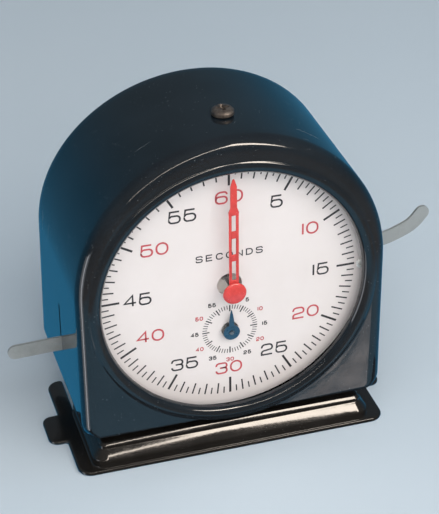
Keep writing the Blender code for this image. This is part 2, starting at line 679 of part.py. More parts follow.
def winding_key(front):
    """A wing key: a round boss on the arbor's end and a flat wing with two round leaves."""
    bore = 1.75
    profile = [(0, front + 9), (2.6, front + 9), (3.6, front + 8), (3.6, front)]
    profile += [(bore, front), (bore, front + 3.4), (0, front + 3.4)]
    key = turned("winding_key", BARREL, profile, "nickel", pivot=BARREL)
    x, height = BARREL[0], BARREL[1] + DIAL_HEIGHT
    low, high = height - 0.9, height + 0.9
    web = [(x - 6, front + 5), (x + 6, front + 5), (x + 6, front + 12), (x - 6, front + 12)]
    united(key, prism("key_web", [web], low, high, "nickel", axis="Z"))
    leaves = [circle((x + side * 8.2, front + 10.5), 6.4, 20) for side in (-1, 1)]
    return united(key, *[prism("key_leaf", [leaf], low, high, "nickel", axis="Z") for leaf in leaves])


# Escapement and balance


def escapement():
    steps = stepped(16.4, 22.4, 0.75)
    towards = bearing(ESCAPE, SECONDS)
    pinion_arbor("escape_arbor", ESCAPE, steps, PINION_LEAVES, SECONDS_MODULE, towards, (20.2, 22.4))
    outline = []
    for i in range(ESCAPE_TEETH):
        turn = tau * i / ESCAPE_TEETH
        for share, radius in ((0.0, 4.2), (0.10, ESCAPE_RADIUS), (0.18, ESCAPE_RADIUS), (0.42, 4.2)):
            outline.append(along(ESCAPE, turn + share * tau / ESCAPE_TEETH * 2, radius))
    loops = [outline, circle(ESCAPE, 0.9, 10)] + crossings(ESCAPE, 1.9, 3.5, 4, 0.9)
    prism("escape_wheel", loops, 17.0, 17.8, "brass", pivot=ESCAPE)
    pallet_lever()
    balance()


def pallet_lever():
    """The anchor arms with a pin at each end, and the fork that meets the balance's impulse pin."""
    layer = (16.6, 17.4)
    fork = along(PALLET, ESCAPE_LINE, 5.8)
    arms = [along(ESCAPE, ESCAPE_LINE + side * radians(40), ESCAPE_RADIUS + 1.3) for side in (-1, 1)]
    loops = [circle(PALLET, 2.0, 12), circle(PALLET, 0.75, 10)]
    lever = prism("pallet_lever", loops, *layer, "steel", pivot=PALLET)
    stem = prism("stem", [strip([along(PALLET, ESCAPE_LINE, 1.4), fork], 1.3)], *layer, "steel")
    tips = [along(fork, ESCAPE_LINE + side * radians(38), 2.0) for side in (-1, 1)]
    united(lever, stem, *[prism("prong", [strip([fork, tip], 0.7)], *layer, "steel") for tip in tips])
    for arm in arms:
        start = along(PALLET, bearing(PALLET, arm), 1.4)
        united(lever, prism("arm", [strip([start, arm], 1.2)], *layer, "steel"))
        united(lever, rod(arm, 0.35, layer[1] - 0.2, layer[1] + 1.4, segments=8))
    shaft("pallet_arbor", PALLET, [(*PIVOT_ENDS, PIVOT_RADIUS)], "steel", pivot=PALLET)


def balance():
    steps = [(PIVOT_ENDS[0], 14.0, PIVOT_RADIUS), (14.0, 33.4, 0.8), (33.4, 34.6, 0.45)]
    shaft("balance_staff", BALANCE, steps, "steel", pivot=BALANCE)
    loops = [circle(BALANCE, BALANCE_RADIUS, 32), circle(BALANCE, 0.95, 10)]
    loops += crossings(BALANCE, 2.2, BALANCE_RADIUS - 1.4, 3, 1.4)
    prism("balance_wheel", loops, 28.0, 29.4, "brass", pivot=BALANCE)
    profile = [(0.95, 14.6), (3.0, 14.6), (3.0, 15.6), (0.95, 15.6)]
    roller = turned("impulse_roller", BALANCE, profile, "steel", pivot=BALANCE)
    united(roller, rod(along(BALANCE, ESCAPE_LINE + pi, IMPULSE_RADIUS), 0.35, 15.2, 17.6, segments=8))
    spiral("hairspring", BALANCE, 1.7, 5.2, 5, 0.18, (30.6, 31.4))
    balance_cock()


def balance_cock():
    """A bridge over the balance that carries the staff's back pivot."""
    foot = along(BALANCE, radians(35), 17.0)
    low, high = 33.8, 35.2
    seat = BACK_PLATE[1] + GAP
    loops = [strip([BALANCE, foot], 5.0), circle(BALANCE, 0.6, 8), circle(foot, 1.2, 8)]
    cock = prism("balance_cock", loops, low, high, "brass")
    profile = [(2.5, seat), (2.5, low + 0.2), (1.2, low + 0.2), (1.2, seat)]
    united(cock, turned("cock_foot", foot, profile, "brass", segments=12))
    steps = [(seat, high + GAP, 1.0), (high + GAP, high + 1.5, 2.0)]
    shaft("cock_screw", foot, steps, "steel")


# Levers


def turned_back(point, pivot, angle):
    """Where a point of a lever is at rest, from its place once the lever has turned by angle about +Y."""
    x, z = point[0] - pivot[0], point[1] - pivot[1]
    return (pivot[0] + x * cos(angle) - z * sin(angle), pivot[1] + x * sin(angle) + z * cos(angle))


def start_stop_lever():
    """The long arm out of the left side, and the brake that reaches for the balance's rim."""
    blade = [(-72.4, -30.6), (-55.5, -30.2), (-38.0, -30.8), START_PIVOT]
    loops = [strip(blade, LEVER_WIDTH), circle(START_PIVOT, LEVER_BORE, 12)]
    lever = prism("start_stop_lever", loops, *LEVER_LAYER, "nickel", pivot=START_PIVOT)
    pad_centre = (BALANCE[0] - BALANCE_RADIUS - 1.1, BALANCE[1])
    brake = turned_back(pad_centre, START_PIVOT, START_TRAVEL)
    arm = [strip([(-37.0, -30.5), (-43.0, -6.0), brake], 2.8)]
    united(lever, prism("brake_arm", arm, *LEVER_LAYER, "nickel"), rod(brake, 0.8, 26.0, 29.6, segments=10))
    shoulder_screw("start_lever_screw", START_PIVOT)


def reset_lever():
    """The curved arm out of the right side, and the two-faced hammer that reaches for the heart cams."""
    blade = [(82.3, -0.2), (79.6, -3.4), (76.0, -5.8), (68.0, -8.6)]
    blade += [(57.0, -10.0), (46.0, -6.0), (36.0, 8.0), RESET_PIVOT]
    loops = [strip(blade, LEVER_WIDTH), circle(RESET_PIVOT, LEVER_BORE, 12)]
    lever = prism("reset_lever", loops, *LEVER_LAYER, "nickel", pivot=RESET_PIVOT)
    hammer = [(7.6, 2.4), (7.6, -2.4), (9.2, -8.0), (9.2, -21.2), (12.4, -21.2), (12.4, -6.0), (23.0, 20.0)]
    hammer += [(27.0, 24.0), (20.0, 20.0), (12.0, 4.0)]
    united(lever, prism("hammer", [hammer], *LEVER_LAYER, "nickel"))
    cut(lever, rod(RESET_PIVOT, LEVER_BORE, 20, 30, segments=12))
    shoulder_screw("reset_lever_screw", RESET_PIVOT)
    spring = [(44.0, 32.0), (40.0, 28.0), (38.4, 24.0), (40.6, 20.6)]
    prism("reset_spring", [strip(spring, 0.5, 2)], *LEVER_LAYER, "spring_steel")


def shoulder_screw(name, pivot):
    seat, head = BACK_PLATE[1] + GAP, LEVER_LAYER[1] + GAP
    steps = [(BACK_PLATE[0], seat, 1.0), (seat, head, 1.1), (head, head + 1.3, 2.8)]
    shaft(name, pivot, steps, "steel")


def clear_scene():
    for old in list(bpy.data.objects):
        bpy.data.objects.remove(old)


def main():
    clear_scene()
    case_and_base()
    brackets()
    dial()
    seconds_hand()
    minute_hand()
    plates()
    going_train()
    barrel()
    escapement()
    start_stop_lever()
    reset_lever()


main()
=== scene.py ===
"""Lab timer: the looks of a wind-up seconds timer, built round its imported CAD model.

Drawings are in millimetres and MM turns them into metres. As in the model, +X is to the right of
someone reading the dial, +Y points into the case, +Z is up, and heights on the dial and in the
movement are counted from the dial's centre.
"""

import json
from math import atan2, cos, pi, radians, sin, tau

import bmesh
import bpy
from mathutils import Euler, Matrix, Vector
from mathutils.geometry import tessellate_polygon

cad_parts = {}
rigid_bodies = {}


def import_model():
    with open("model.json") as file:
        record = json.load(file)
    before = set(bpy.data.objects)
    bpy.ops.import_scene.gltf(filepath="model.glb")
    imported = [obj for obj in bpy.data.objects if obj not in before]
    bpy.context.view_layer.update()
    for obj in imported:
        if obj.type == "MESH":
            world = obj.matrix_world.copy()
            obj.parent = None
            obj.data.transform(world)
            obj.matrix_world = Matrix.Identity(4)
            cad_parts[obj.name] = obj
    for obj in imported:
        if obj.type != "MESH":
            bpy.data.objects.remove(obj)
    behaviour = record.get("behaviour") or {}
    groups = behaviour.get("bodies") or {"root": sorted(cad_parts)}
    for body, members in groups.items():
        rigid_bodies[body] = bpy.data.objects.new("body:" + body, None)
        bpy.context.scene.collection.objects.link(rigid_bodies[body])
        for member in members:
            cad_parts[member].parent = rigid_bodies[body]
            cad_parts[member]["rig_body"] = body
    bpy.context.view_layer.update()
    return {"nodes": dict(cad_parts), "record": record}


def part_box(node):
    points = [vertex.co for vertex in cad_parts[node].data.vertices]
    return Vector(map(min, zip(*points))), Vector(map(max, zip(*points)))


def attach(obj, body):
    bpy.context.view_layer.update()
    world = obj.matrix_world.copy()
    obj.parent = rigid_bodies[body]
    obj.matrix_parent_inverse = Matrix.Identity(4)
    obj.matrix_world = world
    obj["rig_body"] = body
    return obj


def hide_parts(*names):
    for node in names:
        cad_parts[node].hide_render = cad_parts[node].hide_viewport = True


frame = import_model()
MM = 0.001


def span(node):
    """The lowest and highest corner of a CAD node, in millimetres."""
    low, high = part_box(node)
    return low / MM, high / MM


def middle(node):
    low, high = span(node)
    return (low + high) / 2


def on_face(node):
    """The middle of a CAD node as (x, height), counted from the dial's centre."""
    at = middle(node)
    return (at.x, at.z - DIAL_HEIGHT)


def layer(node):
    """Where a CAD node begins and ends along Y."""
    low, high = span(node)
    return low.y, high.y


# Driving dimensions, from the frame
DIAL_HEIGHT = middle("dial").z
DIAL_RADIUS = span("dial")[1].x
CASE_HALF_WIDTH = span("case_shell")[1].x
CASE_TOP = span("case_shell")[1].z - DIAL_HEIGHT
CASE_BOTTOM = span("case_shell")[0].z - DIAL_HEIGHT
CASE_FRONT = span("case_shell")[0].y
CASE_BACK_LOW = span("case_shell")[1].y
BASE_TOP = span("base_plate")[1].z
LEVER_LAYER = layer("reset_lever")
HAND_LAYER = layer("seconds_hand")
MINUTE_LAYER = layer("minute_hand")
BOSS_LAYER = layer("seconds_hand_boss")
MINUTES = on_face("minute_arbor")
BARREL = on_face("barrel_lid")
BALANCE = on_face("balance_wheel")
BALANCE_RADIUS = (span("balance_wheel")[1].x - span("balance_wheel")[0].x) / 2

# Driving dimensions that the frame's boxes don't tell
CASE_LEAN = 0.115  # how far the open back leans forward for each millimetre up
CASE_WALL = 1.2
CASE_ROUND = 5.0  # of the front edge
CASE_CORNER = 6.5  # of the lower corners
OPENING_RADIUS = 47.0
LIP_ROUND = 2.8
BEAD = (3.0, 1.0, 37)  # radii of the outer flank and the foot, and the steepest slope in degrees
RAW_EDGE = 0.3  # easing of the case's cut edges
BACK_BAND = 3.0  # depth of the straight band along its back
PLATFORM = (52.2, -6.0, 34.0)  # half width, front y, back y
SHOULDER = (4.9, 8.3, 2.8)  # heights of its lower and upper edge, and its inset
SLOPES = (35, 44)  # the lean of both slopes at their lower and upper edge, in degrees
PLATFORM_TOP = 10.4
PLATFORM_EDGE = (0.91, 1.1)  # the narrow slope along its upper edge: inset and height
PLATFORM_CORNER = 5.2  # its upright edges
PLATFORM_FOOT = 0.5  # the fillet round its foot
NECK_INSET = 7.0  # of the neck between the platform's top and the case
FLANGE = (57.8, -6.7, 52.0, 1.8)  # half width, front y, back y of the legs, thickness
FLANGE_EDGE = 0.75
LEG_INSIDE = 51.6  # x of the legs' inner edges
EAR = (64.2, 22.6, 16.4)  # outer x, middle y, length along y
BASE_SCREWS = ("base_screw_left", "base_screw_right")
COVER_SCREWS = ("cover_screw_1", "cover_screw_2")
DIAL_SCREWS = ("dial_screw_left", "dial_screw_right")
SCREW_SEAT = 8.0  # depth of the counterbores under the base
COUNTERBORE = 4.6  # their radius
SCREW_CLEARANCE = 2.3  # radius of a case screw's hole
COVER_INSET = 0.5  # from the case's back edge to the cover
COVER_THICKNESS = 1.2
KEY_HOLE, COVER_SCREW_HOLE = 3.4, 1.7  # radii in the rear cover
SECONDS_HOLE, MINUTES_HOLE, DIAL_SCREW_HOLE = 4.5, 3.1, 1.1  # radii in the dial
BOSS_RADIUS = 4.2
HAND_RAILS = (1.75, 0.75)  # outer and inner half width of the seconds hand's two rails
HAND_SLOTS = ((5.0, 12.6), (15.2, 21.6), (24.4, 30.6))
START_SLOT = (-33.6, -13.4)  # its lower and upper end
RESET_SLOT = (-21.0, -4.4)
SLOT_HALF_WIDTH = 0.9
START_PIVOT = (-4.0, -34.0)
RESET_PIVOT = (26.0, 22.0)
LEVER_WIDTH = 5.5
LEVER_BORE = 1.25
LEVER_EDGE, HAND_EDGE = 0.22, 0.12
START_TRAVEL = radians(14.5)

# The dial's print
DIVISIONS, SMALL_DIVISIONS = 120, 60
TICK_OUTER = 46.0
TICKS = ((10, 39.4, 0.82), (2, 41.5, 0.54), (1, 43.3, 0.46))  # every, inner radius, width
NUMERAL_RING = (33.0, 35.0)  # half its width and height
NUMERAL_SIZE = (3.9, 4.3)  # of the stroke's middle line
NUMERAL_STROKE = 0.66
NUMERAL_GAP = 1.5
NUMERAL_SHIFTS = {  # how far some numerals are printed off the ring, to the right and up
    5: (0.4, 0), 10: (0.7, 0), 15: (0.5, 0), 20: (-0.4, 0.5),
    30: (-0.5, 0), 35: (-0.3, 0.2), 40: (-0.3, 1.7), 50: (2.1, 1.5),
}
SMALL_TICKS = ((5, 7.5, 0.46), (1, 8.4, 0.28))
SMALL_TICK_OUTER = 10.1
SMALL_RING = 12.9
SMALL_SIZE = (0.95, 1.35)
SMALL_STROKE = 0.36
SMALL_GAP = 0.62
LEGEND = "SECONDS"
LEGEND_HEIGHT = 12.1
LEGEND_SIZE = (2.1, 2.2)
LEGEND_PITCH = 3.6
LEGEND_STROKE = 0.45
FILM = 0.03  # thickness of the ink

SHARP_EDGE = radians(32)  # edges sharper than this stay sharp


def along(start, angle, distance):
    return (start[0] + distance * cos(angle), start[1] + distance * sin(angle))


def bearing(start, end):
    return atan2(end[1] - start[1], end[0] - start[0])


# Meshes


def linked(name, data):
    """A new object in the scene."""
    made = bpy.data.objects.new(name, data)
    bpy.context.scene.collection.objects.link(made)
    return made


def finished(name, bm, finish):
    """The object made from a mesh in millimetres."""
    bmesh.ops.scale(bm, verts=bm.verts, vec=(MM, MM, MM))
    bmesh.ops.recalc_face_normals(bm, faces=bm.faces)
    mesh = bpy.data.meshes.new(name)
    bm.to_mesh(mesh)
    bm.free()
    mesh.shade_smooth()
    mesh.set_sharp_from_angle(angle=SHARP_EDGE)
    mesh.materials.append(finish)
    return linked(name, mesh)


def applied(target):
    """Applies an object's modifiers, so that it is a plain mesh, and returns that mesh."""
    graph = bpy.context.evaluated_depsgraph_get()
    mesh = bpy.data.meshes.new_from_object(target.evaluated_get(graph))
    target.modifiers.clear()
    target.data = mesh
    return mesh


def baked(target):
    """Applies an object's modifiers and shades the result anew."""
    mesh = applied(target)
    mesh.shade_smooth()
    mesh.set_sharp_from_angle(angle=SHARP_EDGE)


def softened(target, width, segments=3, angle=30):
    """Rounds the object's sharp edges."""
    bevel = target.modifiers.new("bevel", "BEVEL")
    bevel.width = width * MM
    bevel.segments = segments
    bevel.limit_method = "ANGLE"
    bevel.angle_limit = radians(angle)
    baked(target)
    weighted = target.modifiers.new("weighted", "WEIGHTED_NORMAL")
    weighted.keep_sharp = True
    applied(target)
    return target


def cut(target, *others, operation="DIFFERENCE"):
    for other in others:
        step = target.modifiers.new("cut", "BOOLEAN")
        step.operation = operation
        step.solver = "EXACT"
        step.object = other
        baked(target)
        bpy.data.objects.remove(other)
    return target


def merged(target, *others):
    return cut(target, *others, operation="UNION")


def joined(name, *pieces):
    """One object that holds all the pieces' meshes."""
    bm = bmesh.new()
    for piece in pieces:
        bm.from_mesh(piece.data)
    mesh = bpy.data.meshes.new(name)
    bm.to_mesh(mesh)
    bm.free()
    mesh.materials.append(pieces[0].data.materials[0])
    for piece in pieces:
        bpy.data.objects.remove(piece)
    return linked(name, mesh)


def placed(axis, a, b, level):
    return (a, level, b + DIAL_HEIGHT) if axis == "Y" else (a, b, level)


def skin(bm, rings, closed=False, capped=False):
    """Faces from each ring to the next, and from the last to the first or over both ends."""
    for first, second in zip(rings, rings[1:] + (rings[:1] if closed else [])):
        for i in range(max(len(first), len(second))):
            corners = [first[i % len(first)], first[(i + 1) % len(first)]]
            corners += [second[(i + 1) % len(second)], second[i % len(second)]]
            bm.faces.new(list(dict.fromkeys(corners)))
    if capped:
        bm.faces.new(rings[0])
        bm.faces.new(rings[-1])


def prism(name, loops, low, high, finish, axis="Y"):
    """A flat piece: an outline, and any holes after it, carried from low to high along the axis."""
    bm = bmesh.new()
    points = [point for loop in loops for point in loop]
    ends = [[bm.verts.new(placed(axis, a, b, level)) for a, b in points] for level in (low, high)]
    if len(loops) == 1:
        faces = [range(len(points))]
    else:
        faces = tessellate_polygon([[Vector((a, b, 0.0)) for a, b in loop] for loop in loops])
    for corners in faces:
        bm.faces.new([ends[0][i] for i in corners])
        bm.faces.new([ends[1][i] for i in reversed(corners)])
    first = 0
    for loop in loops:
        for i in range(len(loop)):
            here, there = first + i, first + (i + 1) % len(loop)
            bm.faces.new((ends[0][here], ends[0][there], ends[1][there], ends[1][here]))
        first += len(loop)
    return finished(name, bm, finish)


def turned(name, centre, profile, finish, axis="Y", segments=48):
    """A turned piece from (radius, level) points, closed on itself if it never meets the axis."""
    bm = bmesh.new()
    rings = []
    for radius, level in profile:
        if radius == 0:
            rings.append([bm.verts.new(placed(axis, *centre, level))])
            continue
        around = (along(centre, tau * i / segments, radius) for i in range(segments))
        rings.append([bm.verts.new(placed(axis, *point, level)) for point in around])
    skin(bm, rings, closed=profile[0][0] and profile[-1][0])
    return finished(name, bm, finish)


def circle(centre, radius, segments=48):
    return [along(centre, tau * i / segments, radius) for i in range(segments)]


def eased(corners, closed=True, steps=6):
    """A path through (x, y, radius) corners, each one rounded to its radius."""
    path = []
    last = len(corners) - 1
    for i, (x, y, radius) in enumerate(corners):
        here = Vector((x, y))
        if radius == 0 or (not closed and i in (0, last)):
            path.append((x, y))
            continue
        back = (Vector(corners[i - 1][:2]) - here).normalized()
        ahead = (Vector(corners[(i + 1) % len(corners)][:2]) - here).normalized()
        half = back.angle(ahead) / 2
        reach = radius * cos(half) / sin(half)
        centre = here + (back + ahead).normalized() * radius / sin(half)
        start = (here + back * reach - centre) / radius
        end = (here + ahead * reach - centre) / radius
        path += [tuple(centre + start.slerp(end, k / steps) * radius) for k in range(steps + 1)]
    return path


def smoothed(points, steps=8):
    """A smooth curve through the points."""
    line = [Vector(point) for point in points]
    line = [2 * line[0] - line[1]] + line + [2 * line[-1] - line[-2]]
    curve = []
    for a, b, c, d in zip(line, line[1:], line[2:], line[3:]):
        for k in range(steps):
            t = k / steps
            square, cube = 2 * a - 5 * b + 4 * c - d, 3 * b - a - 3 * c + d
            curve.append(0.5 * (2 * b + (c - a) * t + square * t**2 + cube * t**3))
    return curve + [line[-2]]


def edges_of(points, width, closed=False):
    """The two edges of a flat strip that follows a line of points, its corners mitred."""
    line = [Vector(point) for point in points]
    last = len(line) - 1
    edges = ([], [])
    for i, here in enumerate(line):
        before = line[i - 1] if i or closed else here
        after = line[(i + 1) % len(line)] if i < last or closed else here
        ways = [way.normalized() for way in (here - before, after - here) if way.length > 1e-9]
        way = sum(ways, Vector((0, 0))).normalized()
        across = Vector((-way.y, way.x)) * width / 2 / max(way.dot(ways[0]), 0.5)
        edges[0].append(tuple(here + across))
        edges[1].append(tuple(here - across))
    return edges


def strip(points, width, cap_steps=16):
    """The outline of a strip with round ends."""
    left, right = edges_of(points, width)
    turns = bearing(points[-2], points[-1]), bearing(points[1], points[0])
    caps = [
        [along(tip, turn + pi / 2 - pi * k / cap_steps, width / 2) for k in range(1, cap_steps)]
        for tip, turn in zip((points[-1], points[0]), turns)
    ]
    return left + caps[0] + right[::-1] + caps[1]


# Finishes


RANGE_SOCKETS = ("From Min", "From Max", "To Min", "To Max")


class Finish:
    """A procedural material under construction."""

    def __init__(self, name, roughness, metallic=0.0, **constants):
        self.material = bpy.data.materials.new(name)
        self.material.use_nodes = True
        self.tree = self.material.node_tree
        self.shader = self.tree.nodes["Principled BSDF"]
        self.shader.inputs["Roughness"].default_value = roughness
        self.shader.inputs["Metallic"].default_value = metallic
        for key, value in constants.items():
            socket = key.replace("_", " ").title().replace("Ior", "IOR")
            self.shader.inputs[socket].default_value = value
        self.place = self.node("ShaderNodeTexCoord").outputs["Object"]

    def node(self, kind, **values):
        made = self.tree.nodes.new(kind)
        for key, value in values.items():
            setattr(made, key, value)
        return made

    def fill(self, socket, value):
        if isinstance(value, bpy.types.NodeSocket):
            self.tree.links.new(value, socket)
        else:
            socket.default_value = value

    def mapped(self, scale, turn=(0, 0, 0)):
        mapping = self.node("ShaderNodeMapping")
        self.fill(mapping.inputs["Vector"], self.place)
        mapping.inputs["Scale"].default_value = scale
        mapping.inputs["Rotation"].default_value = turn
        return mapping.outputs["Vector"]

    def noise(self, size, detail=3.0, roughness=0.55, vector=None):
        """Noise whose features are about size millimetres across."""
        texture = self.node("ShaderNodeTexNoise")
        self.fill(texture.inputs["Vector"], vector or self.place)
        texture.inputs["Scale"].default_value = 1 / (size * MM)
        texture.inputs["Detail"].default_value = detail
        texture.inputs["Roughness"].default_value = roughness
        return texture.outputs["Fac"]

    def specks(self, size, reach):
        """Small round spots: one in each cell of size millimetres, reach cells in radius."""
        texture = self.node("ShaderNodeTexVoronoi")
        self.fill(texture.inputs["Vector"], self.place)
        texture.inputs["Scale"].default_value = 1 / (size * MM)
        return self.math("LESS_THAN", texture.outputs["Distance"], reach)

    def ranged(self, value, low, high, start=0.0, end=1.0):
        """Maps value from low..high to start..end, clamped."""
        mapping = self.node("ShaderNodeMapRange")
        self.fill(mapping.inputs["Value"], value)
        for socket, number in zip(RANGE_SOCKETS, (low, high, start, end)):
            self.fill(mapping.inputs[socket], number)
        return mapping.outputs["Result"]

    def math(self, operation, a, b):
        made = self.node("ShaderNodeMath", operation=operation)
        self.fill(made.inputs[0], a)
        self.fill(made.inputs[1], b)
        return made.outputs[0]

    def mixed(self, amount, a, b):
        """Blends two colours."""
        mix = self.node("ShaderNodeMix", data_type="RGBA")
        self.fill(mix.inputs[0], amount)
        self.fill(mix.inputs[6], a if isinstance(a, bpy.types.NodeSocket) else (*a, 1))
        self.fill(mix.inputs[7], b if isinstance(b, bpy.types.NodeSocket) else (*b, 1))
        return mix.outputs[2]

    def colour(self, value):
        self.fill(self.shader.inputs["Base Color"], value)

    def roughness(self, value):
        self.fill(self.shader.inputs["Roughness"], value)

    def bump(self, *heights, depth=0.05):
        """Relief from a height between 0 and 1, depth millimetres deep."""
        total = heights[0]
        for height in heights[1:]:
            total = self.math("ADD", total, height)
        relief = self.node("ShaderNodeBump")
        relief.inputs["Distance"].default_value = depth * MM
        self.fill(relief.inputs["Height"], total)
        self.fill(self.shader.inputs["Normal"], relief.outputs["Normal"])


def enamel(name, tint, dust=1.0, roughness=0.07):
    """Stoved black enamel: deep gloss, slight orange peel, dust, smudges and fine scratches."""
    finish = Finish(name, roughness, coat_weight=0.4, coat_roughness=0.03, ior=1.52)
    clouds = finish.ranged(finish.noise(22, 4), 0.35, 0.75)
    specks = finish.specks(1.3, 0.09)
    specks = finish.math("MULTIPLY", specks, finish.ranged(finish.noise(9, 2), 0.50, 0.57))
    lines = finish.noise(1.0, 1, vector=finish.mapped((0.035, 1.0, 0.06), (0.4, 0.2, 0.9)))
    scratches = finish.ranged(lines, 0.755, 0.77)
    scratches = finish.math("MULTIPLY", scratches, finish.ranged(finish.noise(14), 0.5, 0.58))
    hazy = [2.1 * part + 0.004 for part in tint]
    haze = finish.mixed(finish.math("MULTIPLY", clouds, 0.5), tint, hazy)
    marks = finish.math("MULTIPLY", finish.math("MAXIMUM", specks, scratches), 0.5 * dust)
    finish.colour(finish.mixed(marks, haze, (0.30, 0.32, 0.33)))
    smudged = finish.ranged(finish.noise(11, 5), 0.4, 0.8, roughness, roughness + 0.10)
    finish.roughness(finish.math("ADD", smudged, finish.math("MULTIPLY", marks, 0.5)))
    finish.bump(finish.noise(1.6, 1), finish.math("MULTIPLY", finish.noise(7, 1), 2.0), depth=0.012)
    return finish.material


def paint_on_metal(name, tint, roughness=0.3, **constants):
    """Thin hand or ink paint with a faint unevenness."""
    finish = Finish(name, roughness, **constants)
    cover = finish.ranged(finish.noise(2.5, 4), 0.3, 0.75)
    thin, thick = [0.82 * part for part in tint], [min(1, 1.08 * part) for part in tint]
    finish.colour(finish.mixed(cover, thin, thick))
    spread = (roughness * 0.8, roughness * 1.3)
    finish.roughness(finish.ranged(finish.noise(1.2, 3), 0.3, 0.7, *spread))
    finish.bump(finish.noise(0.35, 2), depth=0.01)
    return finish.material


def dial_paint():
    """Matt off-white dial paint, a little yellowed in patches, with fine grain and rare dust."""
    finish = Finish("dial_paint", 0.5, specular_ior_level=0.35)
    clouds = finish.ranged(finish.noise(26, 4), 0.3, 0.75)
    base = finish.mixed(clouds, (0.775, 0.72, 0.705), (0.73, 0.675, 0.655))
    dust = finish.specks(3.2, 0.035)
    dust = finish.math("MULTIPLY", dust, finish.ranged(finish.noise(12), 0.5, 0.6, 0, 0.45))
    finish.colour(finish.mixed(dust, base, (0.25, 0.23, 0.22)))
    finish.roughness(finish.ranged(finish.noise(4, 4), 0.3, 0.7, 0.42, 0.58))
    finish.bump(finish.noise(0.5, 3), depth=0.012)
    return finish.material


def metal(name, tint, roughness, grain=(1.0, 0.06, 1.0), polish=0.5, metallic=1.0):
    """Bare or plated metal with a drawn grain, cloudy stains and small pits."""
    finish = Finish(name, roughness, metallic)
    stain, darker, pitted = ([share * part for part in tint] for share in (0.62, 0.75, 0.3))
    cloud = finish.ranged(finish.noise(6, 5, 0.6), 0.42, 0.78)
    lines = finish.noise(0.22, 3, 0.6, finish.mapped(grain))
    pits = finish.specks(0.9, 0.10)
    pits = finish.math("MULTIPLY", pits, finish.ranged(finish.noise(5), 0.5, 0.58))
    base = finish.mixed(finish.math("MULTIPLY", cloud, polish), tint, stain)
    base = finish.mixed(finish.ranged(lines, 0.3, 0.7, 0, 0.25), base, darker)
    finish.colour(finish.mixed(finish.math("MULTIPLY", pits, 0.6), base, pitted))
    worn = finish.ranged(finish.noise(3, 4), 0.3, 0.75, roughness * 0.8, roughness * 1.5)
    finish.roughness(finish.math("ADD", worn, finish.ranged(lines, 0.3, 0.7, 0, 0.08)))
    finish.bump(lines, depth=0.012)
    return finish.material


def screw_metal():
    """Blackened steel, rubbed to a bronze sheen and grubby in its low places."""
    finish = Finish("screw_metal", 0.5, 0.8)
    rub = finish.ranged(finish.noise(1.6, 5, 0.65), 0.35, 0.65)
    finish.colour(finish.mixed(rub, (0.085, 0.072, 0.065), (0.27, 0.23, 0.20)))
    finish.roughness(finish.ranged(finish.noise(0.8, 4), 0.3, 0.7, 0.42, 0.6))
    finish.bump(finish.noise(0.4, 3), depth=0.03)
    return finish.material


CASE_ENAMEL = enamel("case_enamel", (0.005, 0.0085, 0.012))
BASE_ENAMEL = enamel("base_enamel", (0.008, 0.007, 0.006), dust=0.5, roughness=0.08)
COVER_ENAMEL = enamel("cover_enamel", (0.008, 0.011, 0.015), dust=0.8, roughness=0.22)
DIAL_PAINT = dial_paint()
INK_DARK = paint_on_metal("ink_dark", (0.032, 0.032, 0.036), 0.5)
INK_RED = paint_on_metal("ink_red", (0.56, 0.085, 0.10), 0.5)
HAND_RED = paint_on_metal(
    "hand_red", (0.70, 0.066, 0.060), 0.22, coat_weight=0.6, coat_roughness=0.08
)
HAND_BLUE = paint_on_metal("hand_blue", (0.018, 0.075, 0.135), 0.3, coat_weight=0.2)
NICKEL = metal("nickel", (0.50, 0.53, 0.53), 0.42, metallic=0.55)
PLATE_NICKEL = metal("plate_nickel", (0.96, 0.95, 0.90), 0.5, metallic=0.0)
BRIGHT_NICKEL = metal("bright_nickel", (0.90, 0.91, 0.89), 0.27, polish=0.3, metallic=0.45)
SCREW_METAL = screw_metal()
BRASS = metal("brass", (0.68, 0.47, 0.18), 0.26, grain=(0.08, 1.0, 1.0))
STEEL = metal("steel", (0.50, 0.51, 0.53), 0.22, grain=(1.0, 0.10, 0.10))
SPRING = metal("spring_steel", (0.10, 0.15, 0.30), 0.24, grain=(1.0, 0.05, 1.0))

SLOT_FINISHES = {
    "case_enamel": CASE_ENAMEL,
    "base_enamel": BASE_ENAMEL,
    "dial_paint": DIAL_PAINT,
    "red_paint": HAND_RED,
    "blue_steel": HAND_BLUE,
    "nickel_plate": NICKEL,
    "screw_steel": SCREW_METAL,
    "brass": BRASS,
    "bright_steel": STEEL,
    "spring_steel": SPRING,
}
NODE_SLOTS = {part["node"]: part["material_slot"] for part in frame["record"]["subparts"]}


def stands_for(piece, *nodes):
    """The piece rides on its nodes' body and hides them."""
    body = frame["nodes"][nodes[0]]["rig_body"]
    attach(piece, body)
    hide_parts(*nodes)


def dress_frame():
    """Gives every CAD node the procedural finish of its slot."""
    for name, node in frame["nodes"].items():
        node.data.materials.clear()
        node.data.materials.append(SLOT_FINISHES[NODE_SLOTS[name]])


# Case


def case_outline(inset):
    """The arched front view, drawn in by inset, from the right end of the arch round."""
    half = CASE_HALF_WIDTH - inset
    spring = CASE_TOP - CASE_HALF_WIDTH
    bottom = CASE_BOTTOM + min(inset, CASE_WALL) + 0.3 * max(inset - CASE_WALL, 0)
    corner = max(CASE_CORNER - inset, 1.0)
    arch, side, turn, floor = 96, 24, 12, 48
    outline = [along((0, spring), pi * i / arch, half) for i in range(arch + 1)]
    fall = bottom + corner - spring
    left = [(-half, spring + fall * (i + 1) / (side + 1)) for i in range(side)]
    knee = (corner - half, bottom + corner)
    left += [along(knee, pi + pi / 2 * i / turn, corner) for i in range(turn + 1)]
    across = [((half - corner) * (2 * (i + 1) / (floor + 1) - 1), bottom) for i in range(floor)]
    return outline + left + across + [(-x, height) for x, height in reversed(left)]


def lean(height):
    """y of the case's open back at a height above the dial's centre."""
    return CASE_BACK_LOW + CASE_LEAN * (CASE_BOTTOM - height)


